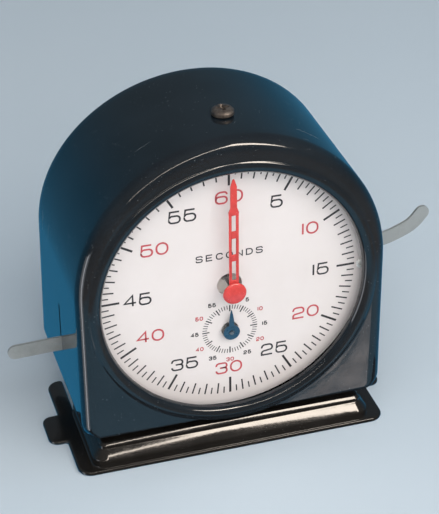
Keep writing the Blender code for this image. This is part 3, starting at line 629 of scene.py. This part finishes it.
def case_ring(bm, outline, level):
    ys = [level(height) if callable(level) else level for _, height in outline]
    return [bm.verts.new((x, y, height + DIAL_HEIGHT)) for (x, height), y in zip(outline, ys)]


def lip_outline(radius):
    """A circle whose points have the same bearings from the dial's centre as case_outline's."""
    return [along((0, 0), bearing((0, 0), point), radius) for point in case_outline(CASE_ROUND)]


def case():
    """The drawn steel case: a rolled front edge, a bead and lip round the dial, and a raw back."""
    bm = bmesh.new()
    rings = []

    def ring(outline, level):
        rings.append(case_ring(bm, outline, level))

    ring(case_outline(0.35), lean)
    for inset, back in ((0.1, 0.1), (0.0, 0.4), (0.0, BACK_BAND)):
        ring(case_outline(inset), lambda height: lean(height) - back)
    flank, foot, slope = BEAD
    slope = radians(slope)
    face = CASE_FRONT + (flank + foot) * (1 - cos(slope))
    inner = face + CASE_ROUND
    for part in range(1, 12):
        share = part / 12
        ring(case_outline(0), lambda h: (lean(h) - BACK_BAND) * (1 - share) + inner * share)
    steps = 14
    for i in range(steps + 1):
        turn = pi / 2 * i / steps
        ring(case_outline(CASE_ROUND * (1 - cos(turn))), face + CASE_ROUND * (1 - sin(turn)))
    crest = OPENING_RADIUS + LIP_ROUND
    rim, edge = case_outline(CASE_ROUND), lip_outline(crest + (flank + foot) * sin(slope))
    for share in (0.06, 0.9):
        between = [(a + (c - a) * share, b + (d - b) * share) for (a, b), (c, d) in zip(rim, edge)]
        ring(between, face)
    for i in range(7):
        turn = slope * i / 6
        radius = crest + flank * sin(slope) + foot * (sin(slope) - sin(turn))
        ring(lip_outline(radius), face - foot * (1 - cos(turn)))
    for i in range(7, -1, -1):
        turn = slope * i / 8
        ring(lip_outline(crest + flank * sin(turn)), CASE_FRONT + flank * (1 - cos(turn)))
    for i in range(1, steps + 1):
        turn = pi / 2 * i / steps
        radius = OPENING_RADIUS + LIP_ROUND * (1 - sin(turn))
        ring(lip_outline(radius), CASE_FRONT + LIP_ROUND * (1 - cos(turn)))
    for wall in (RAW_EDGE, CASE_WALL):
        ring(lip_outline(OPENING_RADIUS + wall), CASE_FRONT + LIP_ROUND + 0.2)
    ring(lip_outline(crest + flank), face + CASE_WALL)
    ring(case_outline(CASE_ROUND), face + CASE_WALL)
    ring(case_outline(CASE_WALL), inner)
    ring(case_outline(CASE_WALL), lambda height: lean(height) - RAW_EDGE)
    ring(case_outline(CASE_WALL - RAW_EDGE), lean)
    skin(bm, rings, closed=True)
    shell = finished("case", bm, CASE_ENAMEL)
    left = slot_cutter(-CASE_HALF_WIDTH, START_SLOT)
    right = slot_cutter(CASE_HALF_WIDTH, RESET_SLOT)
    top, floor = CASE_TOP + DIAL_HEIGHT, CASE_BOTTOM + DIAL_HEIGHT
    holes = [screw_hole("top_screw", top - 6, top + 4)]
    holes += [screw_hole(name, floor - 4, floor + 6) for name in BASE_SCREWS]
    cut(shell, left, right, *holes)
    stands_for(shell, "case_shell")


def rod(radius, start, end):
    return [(0, start), (radius, start), (radius, end), (0, end)]


def screw_hole(node, low, high):
    """A rod that cuts the clearance hole of an upright screw."""
    return turned("hole", middle(node).xy, rod(SCREW_CLEARANCE, low, high), CASE_ENAMEL, "Z")


def slot_cutter(wall_x, reach):
    """A block that opens a lever's slot in a side wall, from the lower to the upper height."""
    low, high = reach
    across = sum(LEVER_LAYER) / 2
    corners = [(wall_x - 4, low), (wall_x + 4, low), (wall_x + 4, high), (wall_x - 4, high)]
    return prism("slot", [corners], across - SLOT_HALF_WIDTH, across + SLOT_HALF_WIDTH, CASE_ENAMEL)


def rear_cover():
    """A pressed cover: a flat rim, and a shallow step down to a flat middle."""
    bm = bmesh.new()
    rings = []
    profile = ((1.9, COVER_THICKNESS), (1.5, COVER_THICKNESS - 0.3), (1.5, 0.3), (1.8, 0.0))
    profile += ((5.0, 0.0), (5.7, 0.22), (6.4, 0.45), (7.4, 0.5))
    for inset, depth in profile:
        outline = case_outline(inset)
        rings.append(case_ring(bm, outline, lambda height: lean(height) - COVER_INSET - depth))
    skin(bm, rings, capped=True)
    cover = finished("pressed_cover", bm, COVER_ENAMEL)
    through = (40, 75)  # levels in front of the leaning cover and behind it
    holes = [(BARREL, KEY_HOLE)] + [(on_face(name), COVER_SCREW_HOLE) for name in COVER_SCREWS]
    for centre, radius in holes:
        cut(cover, turned("hole", centre, rod(radius, *through), COVER_ENAMEL))
    stands_for(softened(cover, 0.2, segments=2, angle=50), "rear_cover")


# Base


def base():
    """The cast base: a flange with legs and ears, and a raised platform with a filleted foot."""
    half, front, back, thickness = FLANGE
    ear_x, ear_y, ear_length = EAR
    ear_front, ear_back = ear_y - ear_length / 2, ear_y + ear_length / 2
    right = [(half, front, 5.0), (half, ear_front, 1.0), (ear_x, ear_front, 3.6)]
    right += [(ear_x, ear_back, 3.6), (half, ear_back, 1.0), (half, back, 4.6)]
    right += [(LEG_INSIDE, back, 1.2), (LEG_INSIDE, PLATFORM[2] - 6, 0)]
    outline = eased(right + [(-x, y, radius) for x, y, radius in reversed(right)])
    flange = prism("flange", [outline], 0.0, thickness, BASE_ENAMEL, axis="Z")
    softened(flange, FLANGE_EDGE, segments=5, angle=40)
    block = platform_block(thickness)
    bore = [(0, -1), (COUNTERBORE, -1), (COUNTERBORE, SCREW_SEAT)]
    bore += [(SCREW_CLEARANCE, SCREW_SEAT), (SCREW_CLEARANCE, 18), (0, 18)]
    for target in (flange, block):
        for name in BASE_SCREWS:
            cut(target, turned("bore", middle(name).xy, bore, BASE_ENAMEL, axis="Z"))
    stands_for(joined("cast_base", flange, block), "base_plate")


def bulged(start, end, steps=8):
    """The points between the ends of a slightly convex slope, as corners for eased()."""
    first, last = (radians(slope) for slope in SLOPES)
    points = []
    for i in range(1, steps):
        turn = first + (last - first) * i / steps
        across = (cos(first) - cos(turn)) / (cos(first) - cos(last))
        up = (sin(turn) - sin(first)) / (sin(last) - sin(first))
        inset = start[0] + (end[0] - start[0]) * across
        points.append((inset, start[1] + (end[1] - start[1]) * up, 0))
    return points


def platform_block(thickness):
    """The raised middle: a filleted foot, a convex shoulder, a low step, and a hidden neck."""
    half, front, back = PLATFORM
    low, high, step = SHOULDER
    foot = PLATFORM_FOOT
    levels = [(0.0, 0.4), (0.0, thickness - 0.4), (-foot, thickness - 0.2)]
    for i in range(6):
        turn = pi / 2 * i / 5
        levels.append((foot * (sin(turn) - 1), thickness + foot * (1 - cos(turn))))
    across, height = PLATFORM_EDGE
    edge = ((step, PLATFORM_TOP - height), (step + across, PLATFORM_TOP))
    path = [(0.0, thickness + foot, 0), (0.0, low, 1.2), *bulged((0.0, low), (step, high))]
    path += [(step, high, 0.4), (*edge[0], 0.2), *bulged(*edge), (*edge[1], 0.2)]
    path += [(NECK_INSET, PLATFORM_TOP, 0.8), (NECK_INSET, BASE_TOP, 0)]
    levels += eased(path, closed=False)
    bm = bmesh.new()
    rings = []
    for inset, level in levels:
        corner = max(PLATFORM_CORNER - inset, 1.0)
        box = [(-half + inset, front + inset, corner), (half - inset, front + inset, corner)]
        box += [(half - inset, back - inset, corner), (-half + inset, back - inset, corner)]
        rings.append([bm.verts.new((x, y, level)) for x, y in eased(box, steps=10)])
    skin(bm, rings, capped=True)
    return finished("platform", bm, BASE_ENAMEL)


# Screws


def pan_screw(node, axis, outward, head_radius, head_height, shank_radius, finish):
    """A pan-head screw over a CAD one: domed head, rolled edge and a tapered cross recess."""
    low, high = span(node)
    if axis == "Z":
        centre, start, end = middle(node).xy, low.z, high.z
    else:
        centre, start, end = on_face(node), low.y, high.y
    tip, top = (start, end) if outward > 0 else (end, start)
    seat = top - outward * head_height
    flat = 0.72 * head_radius  # where the rolled edge meets the dome
    corners = [(0, tip, 0), (shank_radius, tip, 0.3), (shank_radius, seat, 0)]
    corners += [(head_radius, seat, 0.2 * head_height)]
    corners += [(head_radius, seat + outward * 0.62 * head_height, 0.42 * head_height)]
    corners += [(flat, seat + outward * 0.9 * head_height, 0)]
    profile = eased(corners, closed=False)
    for i in range(1, 9):
        share = i / 8
        dome = 0.9 + 0.1 * (1 - (1 - share) ** 2)
        profile.append((flat * (1 - share), seat + outward * dome * head_height))
    screw = turned(f"{node}_head", centre, profile, finish, axis=axis)
    cut(screw, cross_cutter(centre, seat, outward, head_radius, head_height, axis))
    stands_for(screw, node)


def cross_cutter(centre, seat, outward, head_radius, head_height, axis):
    """A four-winged wedge that narrows towards the bottom of the recess."""
    bm = bmesh.new()
    rings = []
    for reach, half, depth in ((0.30, 0.10, 0.30), (0.60, 0.15, 1.10)):
        points = []
        for i in range(4):
            turn = pi / 2 * i
            for x, y in ((reach, -half), (reach, half), (half, half)):
                x, y = x * head_radius, y * head_radius
                a = centre[0] + (x * cos(turn) - y * sin(turn))
                b = centre[1] + (x * sin(turn) + y * cos(turn))
                points.append(placed(axis, a, b, seat + outward * depth * head_height))
        rings.append([bm.verts.new(point) for point in points])
    skin(bm, rings, capped=True)
    return finished("recess", bm, SCREW_METAL)


def screws():
    """The screws in view, each with its head's radius and height and its shank's radius."""
    pan_screw("top_screw", "Z", 1, 4.0, 2.6, 1.9, SCREW_METAL)
    for name in BASE_SCREWS:
        pan_screw(name, "Z", -1, 4.0, 2.4, 1.9, SCREW_METAL)
    for name in COVER_SCREWS:
        pan_screw(name, "Y", 1, 2.8, 1.8, 1.3, SCREW_METAL)
    for name in DIAL_SCREWS:
        pan_screw(name, "Y", -1, 2.0, 1.2, 0.8, BRIGHT_NICKEL)


# Dial and its print

# Strokes in a box one unit wide and high: (x, y, radius of the corner in heights)
GLYPHS = {
    "0": [[(0, 0, 0.44), (1, 0, 0.44), (1, 1, 0.44), (0, 1, 0.44)]],
    "1": [[(0.5, 0, 0), (0.5, 1, 0)]],
    "2": [[(0, 0.68, 0), (0, 1, 0.28), (1, 1, 0.28), (1, 0.5, 0.2),
           (0, 0.36, 0.2), (0, 0, 0), (1, 0, 0)]],
    "3": [
        [(0, 0.72, 0), (0, 1, 0.24), (1, 1, 0.24), (1, 0.53, 0.2), (0.35, 0.53, 0)],
        [(0.6, 0.53, 0), (1, 0.53, 0.22), (1, 0, 0.26), (0, 0, 0.26), (0, 0.28, 0)],
    ],
    "4": [[(0.76, 0, 0), (0.76, 1, 0), (0, 0.3, 0), (1.05, 0.3, 0)]],
    "5": [[(0.94, 1, 0), (0.1, 1, 0), (0.02, 0.46, 0), (0.2, 0.62, 0.1),
           (1, 0.62, 0.3), (1, 0, 0.3), (0, 0, 0.28), (0, 0.26, 0)]],
    "6": [[(1, 0.76, 0), (1, 1, 0.22), (0, 1, 0.4), (0, 0, 0.34),
           (1, 0, 0.28), (1, 0.6, 0.28), (0.03, 0.6, 0.2), (0.03, 0.34, 0)]],
    "S": [[(1, 0.74, 0), (1, 1, 0.23), (0, 1, 0.23), (0, 0.53, 0.2),
           (1, 0.47, 0.2), (1, 0, 0.23), (0, 0, 0.23), (0, 0.26, 0)]],
    "E": [[(1, 1, 0), (0, 1, 0), (0, 0, 0), (1, 0, 0)], [(0, 0.5, 0), (0.9, 0.5, 0)]],
    "C": [[(1, 0.7, 0), (1, 1, 0.28), (0, 1, 0.42), (0, 0, 0.42), (1, 0, 0.28), (1, 0.3, 0)]],
    "O": [[(0, 0, 0.43), (1, 0, 0.43), (1, 1, 0.43), (0, 1, 0.43)]],
    "N": [[(0, 0, 0), (0, 1, 0), (1, 0, 0), (1, 1, 0)]],
    "D": [[(0, 0, 0), (1, 0, 0.44), (1, 1, 0.44), (0, 1, 0)]],
}
CLOSED_GLYPHS = "0OD"


def lettering(text, centre, size, stroke, gap):
    """The strokes of a line of characters centred on a point: (line, width, closed)."""
    width, height = size
    widths = [0.0 if letter == "1" else width for letter in text]
    left = centre[0] - (sum(widths) + gap * (len(text) - 1)) / 2
    strokes = []
    for letter, wide in zip(text, widths):
        shift = left - (0.5 * width if letter == "1" else 0.0)
        closed = letter in CLOSED_GLYPHS
        for path in GLYPHS[letter]:
            corners = []
            for x, y, radius in path:
                place = (shift + x * width, centre[1] + (y - 0.5) * height)
                corners.append((*place, min(radius * height, 0.49 * width)))
            strokes.append((eased(corners, closed=closed), stroke, closed))
        left += wide + gap
    return strokes


def scale_marks(centre, outer, ticks, count):
    """The marks round a scale. A division takes the first tick whose step divides it."""
    strokes = []
    for i in range(count):
        inner, width = next((inner, width) for every, inner, width in ticks if i % every == 0)
        turn = pi / 2 - tau * i / count
        strokes.append(([along(centre, turn, inner), along(centre, turn, outer)], width, False))
    return strokes


def printed(name, strokes, finish):
    """A film of ink on the dial."""
    bm = bmesh.new()
    for line, width, closed in strokes:
        rings = []
        for a, b in zip(*edges_of(line, width, closed)):
            corners = ((*a, 0.0), (*a, -FILM), (*b, -FILM), (*b, 0.0))
            rings.append([bm.verts.new(placed("Y", *corner)) for corner in corners])
        skin(bm, rings, closed, capped=not closed)
    ink = finished(name, bm, finish)
    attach(ink, "root")


def dial():
    face, back = layer("dial")
    loops = [circle((0, 0), DIAL_RADIUS, 160), circle((0, 0), SECONDS_HOLE, 72)]
    loops.append(circle(MINUTES, MINUTES_HOLE, 56))
    screw_x = middle("dial_screw_right").x
    loops += [circle((side * screw_x, 0), DIAL_SCREW_HOLE, 24) for side in (-1, 1)]
    stands_for(prism("dial_disc", loops, face, back, DIAL_PAINT), "dial")
    dark = scale_marks((0, 0), TICK_OUTER, TICKS, DIVISIONS)
    dark += scale_marks(MINUTES, SMALL_TICK_OUTER, SMALL_TICKS, SMALL_DIVISIONS)
    gap = LEGEND_PITCH - LEGEND_SIZE[0]
    dark += lettering(LEGEND, (0, LEGEND_HEIGHT), LEGEND_SIZE, LEGEND_STROKE, gap)
    red = []
    for value in range(5, 65, 5):
        turn = tau * value / 60
        ink = red if value % 10 == 0 else dark
        right, up = NUMERAL_SHIFTS.get(value, (0.0, 0.0))
        centre = (NUMERAL_RING[0] * sin(turn) + right, NUMERAL_RING[1] * cos(turn) + up)
        ink += lettering(str(value), centre, NUMERAL_SIZE, NUMERAL_STROKE, NUMERAL_GAP)
        centre = (MINUTES[0] + SMALL_RING * sin(turn), MINUTES[1] + SMALL_RING * cos(turn))
        ink += lettering(str(value), centre, SMALL_SIZE, SMALL_STROKE, SMALL_GAP)
    printed("dial_print_dark", dark, INK_DARK)
    printed("dial_print_red", red, INK_RED)


# Hands


def seconds_hand():
    """Two rails joined by cross bars, a shoulder, and a solid blade out to the tip."""
    outer, inner = HAND_RAILS
    right = [(outer, 0.5, 0), (outer, 30.2, 1.0), (1.85, 31.8, 0.5)]
    right += [(1.2, 33.6, 0.8), (1.15, 41.8, 2.0), (0.3, 44.5, 0)]
    loops = [eased(right + [(-x, z, radius) for x, z, radius in reversed(right)])]
    for low, high in HAND_SLOTS:
        slot = ((-inner, low), (inner, low), (inner, high), (-inner, high))
        loops.append(eased([(*corner, 0.25) for corner in slot]))
    blade = prism("hand_blade", loops, *HAND_LAYER, HAND_RED)
    stands_for(softened(blade, HAND_EDGE, angle=40), "seconds_hand")
    front, back = BOSS_LAYER
    profile = []
    for i in range(15):
        turn = pi / 2 * i / 14
        rise = (back - front) * (0.22 + 0.78 * cos(turn))
        profile.append((BOSS_RADIUS * sin(turn), back - rise))
    profile += [(BOSS_RADIUS - 0.15, back), (0, back)]
    boss = turned("hand_boss", (0, 0), profile, HAND_RED, segments=64)
    stands_for(boss, "seconds_hand_boss")


def minute_hand():
    """A short tapering blade on a round disc, with a pit where it is pressed on its arbor."""
    blade = [(0.95, 2.3), (0.85, 5.0), (0.5, 7.4), (0.12, 9.2)]
    disc = [along((0, 0), pi / 2 - radians(20 + 8 * i), 3.0) for i in range(41)]
    outline = [(-x, z) for x, z in blade] + blade[::-1] + disc
    loops = [[(MINUTES[0] + x, MINUTES[1] + z) for x, z in outline], circle(MINUTES, 0.9, 28)]
    hand = prism("minute_blade", loops, *MINUTE_LAYER, HAND_BLUE)
    stands_for(softened(hand, HAND_EDGE, angle=40), "minute_hand")


# Levers and key


def turned_back(point, pivot, angle):
    """Where a lever's point is at rest, from its place once the lever has turned by angle."""
    x, z = point[0] - pivot[0], point[1] - pivot[1]
    return (pivot[0] + x * cos(angle) - z * sin(angle), pivot[1] + x * sin(angle) + z * cos(angle))


def start_lever():
    """The long arm with its round tab, and the brake arm that reaches for the balance inside."""
    blade = smoothed([(-72.4, -30.6), (-55.5, -30.2), (-38.0, -30.8), (-20.0, -32.6), START_PIVOT])
    loops = [strip(blade, LEVER_WIDTH), circle(START_PIVOT, LEVER_BORE, 32)]
    arm = prism("start_arm", loops, *LEVER_LAYER, NICKEL)
    brake = (BALANCE[0] - BALANCE_RADIUS - 1.1, BALANCE[1])
    brake = turned_back(brake, START_PIVOT, START_TRAVEL)
    brake_arm = smoothed([(-37.0, -30.5), (-43.0, -6.0), brake])
    arm = merged(arm, prism("brake_arm", [strip(brake_arm, 2.8)], *LEVER_LAYER, NICKEL))
    profile = rod(0.8, LEVER_LAYER[0] + 0.5, LEVER_LAYER[1] + 3.1)
    pad = turned("brake_pad", brake, profile, NICKEL, segments=24)
    stands_for(softened(merged(arm, pad), LEVER_EDGE, angle=40), "start_stop_lever")


def reset_lever():
    """The arm that sweeps up to a round tab on the right, with the hammer inside."""
    blade = [(82.3, -0.2), (79.6, -3.4), (76.0, -5.8), (68.0, -8.6)]
    blade += [(57.0, -10.0), (46.0, -6.0), (36.0, 8.0), RESET_PIVOT]
    arm = prism("reset_arm_blade", [strip(smoothed(blade), LEVER_WIDTH)], *LEVER_LAYER, NICKEL)
    hammer = [(7.6, 2.4, 0), (7.6, -2.4, 1), (9.2, -8, 2), (9.2, -21.2, 0.4), (12.4, -21.2, 0.4)]
    hammer += [(12.4, -6, 2), (23, 20, 3), (27, 24, 0.5), (20, 20, 1), (12, 4, 3)]
    arm = merged(arm, prism("hammer", [eased(hammer)], *LEVER_LAYER, NICKEL))
    cut(arm, turned("hole", RESET_PIVOT, rod(LEVER_BORE, 20, 30), NICKEL, segments=32))
    stands_for(softened(arm, LEVER_EDGE, angle=40), "reset_lever")


def refined(name, node, width, finish):
    """A copy of a CAD node with its facets merged and its edges rounded."""
    bm = bmesh.new()
    bm.from_mesh(frame["nodes"][node].data)
    bmesh.ops.remove_doubles(bm, verts=bm.verts, dist=1e-6)
    bmesh.ops.dissolve_limit(bm, angle_limit=radians(0.5), verts=bm.verts, edges=bm.edges)
    bmesh.ops.scale(bm, verts=bm.verts, vec=(1 / MM, 1 / MM, 1 / MM))
    stands_for(softened(finished(name, bm, finish), width, angle=28), node)


# Studio


FLOOR_SIZE = 6.0
CAMERA_PLACE = (-0.1513, -0.49694, 0.40089)
CAMERA_AZIMUTH, CAMERA_ELEVATION, CAMERA_ROLL = 16.56, 31.85, -0.59
CAMERA_LENS = 124.7


def camera():
    view = bpy.data.cameras.new("camera")
    view.lens = CAMERA_LENS
    view.sensor_width = 36
    holder = linked("camera", view)
    turn = Euler((radians(90 - CAMERA_ELEVATION), 0, -radians(CAMERA_AZIMUTH))).to_matrix()
    roll = Euler((0, 0, radians(CAMERA_ROLL))).to_matrix()
    holder.rotation_euler = (turn @ roll).to_euler()
    holder.location = CAMERA_PLACE
    bpy.context.scene.camera = holder


def softbox(name, azimuth, elevation, distance, size, power, colour=(1, 1, 1)):
    """A rectangular area light that faces the timer from a direction seen from the front."""
    light = bpy.data.lights.new(name, "AREA")
    light.shape = "RECTANGLE"
    light.size, light.size_y = size
    light.energy = power
    light.color = colour
    lamp = linked(name, light)
    turn = Euler((radians(90 - elevation), 0, -radians(azimuth)))
    lamp.rotation_euler = turn
    lamp.location = Vector((0, 0, DIAL_HEIGHT * MM)) - turn.to_matrix() @ Vector((0, 0, -distance))
    return lamp


def glowing(name, strength=1.0, colour=(1, 1, 1)):
    """A material that only gives off light, and its emission node."""
    glow = bpy.data.materials.new(name)
    glow.use_nodes = True
    tree = glow.node_tree
    tree.nodes.remove(tree.nodes["Principled BSDF"])
    lamp = tree.nodes.new("ShaderNodeEmission")
    lamp.inputs["Color"].default_value = (*colour, 1)
    lamp.inputs["Strength"].default_value = strength
    tree.links.new(lamp.outputs[0], tree.nodes["Material Output"].inputs["Surface"])
    return glow, lamp


def card(name, corners, strength, colour, mottle=0.0):
    """A card that only the glossy surfaces mirror: a glowing one, or a dark one to shade them."""
    bm = bmesh.new()
    bm.faces.new([bm.verts.new(corner) for corner in corners])
    glow, lamp = glowing(name, strength, colour)
    tree = glow.node_tree
    if mottle:
        patches = tree.nodes.new("ShaderNodeTexNoise")
        patches.inputs["Scale"].default_value = 1 / (mottle * MM)
        patches.inputs["Detail"].default_value = 4
        levels = tree.nodes.new("ShaderNodeMapRange")
        for socket, value in zip(RANGE_SOCKETS, (0.38, 0.6, 0.55 * strength, 1.1 * strength)):
            levels.inputs[socket].default_value = value
        place = tree.nodes.new("ShaderNodeTexCoord").outputs["Object"]
        tree.links.new(place, patches.inputs["Vector"])
        tree.links.new(patches.outputs["Fac"], levels.inputs["Value"])
        tree.links.new(levels.outputs["Result"], lamp.inputs["Strength"])
    panel = finished(name, bm, glow)
    panel.visible_camera = False
    panel.visible_diffuse = False
    panel.visible_shadow = False


def backdrop():
    """A pale paper wall round the floor that only the camera sees, glowing with painted light."""
    bm = bmesh.new()
    radius, height = 0.49 * FLOOR_SIZE / MM, 0.5 * FLOOR_SIZE / MM
    bmesh.ops.create_cone(bm, segments=96, radius1=radius, radius2=radius, depth=height)
    bmesh.ops.translate(bm, verts=bm.verts, vec=(0, 0, 0.49 * height))
    paper, lamp = glowing("backdrop_glow")
    tree = paper.node_tree
    split = tree.nodes.new("ShaderNodeSeparateXYZ")
    tree.links.new(tree.nodes.new("ShaderNodeTexCoord").outputs["Object"], split.inputs[0])
    # painted shading: the wall's glow is dimmer near the floor than higher up
    painted_falloff = ramp(tree, split.outputs["Z"], ((0.0, (0.30, 0.34, 0.38)), (0.5, (0.47, 0.54, 0.60))))
    tree.links.new(painted_falloff, lamp.inputs["Color"])
    wall = finished("backdrop", bm, paper)
    wall.visible_diffuse = False
    wall.visible_glossy = False
    wall.visible_shadow = False


def towards(azimuth, elevation, distance=1000.0):
    """A point seen from the dial's centre at an azimuth to the right of the front."""
    azimuth, elevation = radians(azimuth), radians(elevation)
    flat = distance * cos(elevation)
    return (flat * sin(azimuth), -flat * cos(azimuth), DIAL_HEIGHT + distance * sin(elevation))


def studio():
    """A pale floor under soft light, and cards and a dim surrounding for the enamel to mirror."""
    bm = bmesh.new()
    bmesh.ops.create_grid(bm, x_segments=2, y_segments=2, size=FLOOR_SIZE / 2 / MM)
    finish = Finish("floor_paper", 0.8, specular_ior_level=0.1)
    finish.colour(finish.mixed(finish.noise(180, 2), (0.60, 0.70, 0.78), (0.63, 0.72, 0.79)))
    floor = finished("floor", bm, finish.material)
    floor.visible_glossy = False
    for lamp in (
        softbox("key", -12, 36, 1.5, (1.9, 1.3), 26, (1.0, 0.97, 0.94)),
        softbox("fill", 30, 50, 1.6, (1.2, 1.2), 7, (0.95, 0.97, 1.0)),
        softbox("side", -80, 40, 1.5, (0.8, 0.8), 3, (0.8, 0.9, 1.0)),
    ):
        lamp.visible_glossy = False
    above = ((-30, 14.5), (-16, 26.6), (0, 34), (8, 39), (12, 42))
    above += ((17, 46), (22, 50), (28, 44), (39, 27))
    below = ((-30, 13.5), (-16, 25), (0, 31.5), (8, 37), (12, 38.5))
    below += ((17, 40), (22, 35.5), (28, 29), (39, 22.5))
    for i, corners in enumerate(zip(above, above[1:], below[1:], below)):
        card(f"overhead_{i}", [towards(*place) for place in corners], 17.0, (1.0, 0.88, 0.76))
    low_right = ((112, -216), (171, -216), (171, -130), (167, -158))
    low_right += ((163, -182), (154, -194), (136, -207))
    card("low_right", [(x, -300, z) for x, z in low_right], 2.3, (1.0, 0.93, 0.92), mottle=16)
    for name, x, reach, strength in (("left_glow", -420, 115, 1.1), ("left_core", -412, 28, 4.0)):
        ends = ((-420, -1), (-420, 1), (60, 1), (60, -1))
        card(name, [(x, -130 + side * reach, z) for z, side in ends], strength, (0.93, 0.95, 1.0))
    shade = [(-75, -27, -1), (95, -27, -1), (95, -7, -1), (-75, -7, -1)]
    card("table_shade", shade, 1.0, (0.06, 0.05, 0.045))
    backdrop()
    surroundings()


def surroundings():
    """Light from all round: in front brown over pale blue, at the back grey over blue."""
    world = bpy.data.worlds.new("surroundings")
    world.use_nodes = True
    bpy.context.scene.world = world
    tree = world.node_tree
    background = tree.nodes["Background"]
    split = tree.nodes.new("ShaderNodeSeparateXYZ")
    tree.links.new(tree.nodes.new("ShaderNodeTexCoord").outputs["Generated"], split.inputs[0])
    behind = ((-0.8, (0.02, 0.25, 0.50)), (-0.45, (0.035, 0.17, 0.30)))
    behind += ((0.0, (0.04, 0.14, 0.23)), (0.45, (0.10, 0.14, 0.17)), (0.9, (0.16, 0.16, 0.17)))
    before = ((-0.57, (0.24, 0.42, 0.55)), (-0.48, (0.26, 0.20, 0.15)))
    before += ((0.1, (0.14, 0.13, 0.12)), (0.7, (0.22, 0.21, 0.20)))
    backward = ramp(tree, split.outputs["Z"], behind)
    forward = ramp(tree, split.outputs["Z"], before)
    front = ramp(tree, split.outputs["Y"], ((-0.5, (1, 1, 1)), (0.2, (0, 0, 0))))
    mix = tree.nodes.new("ShaderNodeMix")
    mix.data_type = "RGBA"
    tree.links.new(front, mix.inputs[0])
    tree.links.new(backward, mix.inputs[6])
    tree.links.new(forward, mix.inputs[7])
    tree.links.new(mix.outputs[2], background.inputs["Color"])


def ramp(tree, value, stops):
    """A colour ramp over values from -1 to 1."""
    spread = tree.nodes.new("ShaderNodeMapRange")
    spread.inputs["From Min"].default_value = -1
    tree.links.new(value, spread.inputs["Value"])
    colours = tree.nodes.new("ShaderNodeValToRGB")
    tree.links.new(spread.outputs["Result"], colours.inputs["Fac"])
    elements = colours.color_ramp.elements
    elements.remove(elements[1])
    elements[0].position, elements[0].color = (stops[0][0] + 1) / 2, (*stops[0][1], 1)
    for place, colour in stops[1:]:
        elements.new((place + 1) / 2).color = (*colour, 1)
    return colours.outputs["Color"]


def main():
    scene = bpy.context.scene
    scene.view_settings.view_transform = "Standard"
    camera()
    dress_frame()
    case()
    rear_cover()
    base()
    screws()
    dial()
    seconds_hand()
    minute_hand()
    start_lever()
    reset_lever()
    refined("wing_key", "winding_key", 0.35, BRIGHT_NICKEL)
    refined("front_plate_soft", "front_plate", 0.15, PLATE_NICKEL)
    studio()


main()
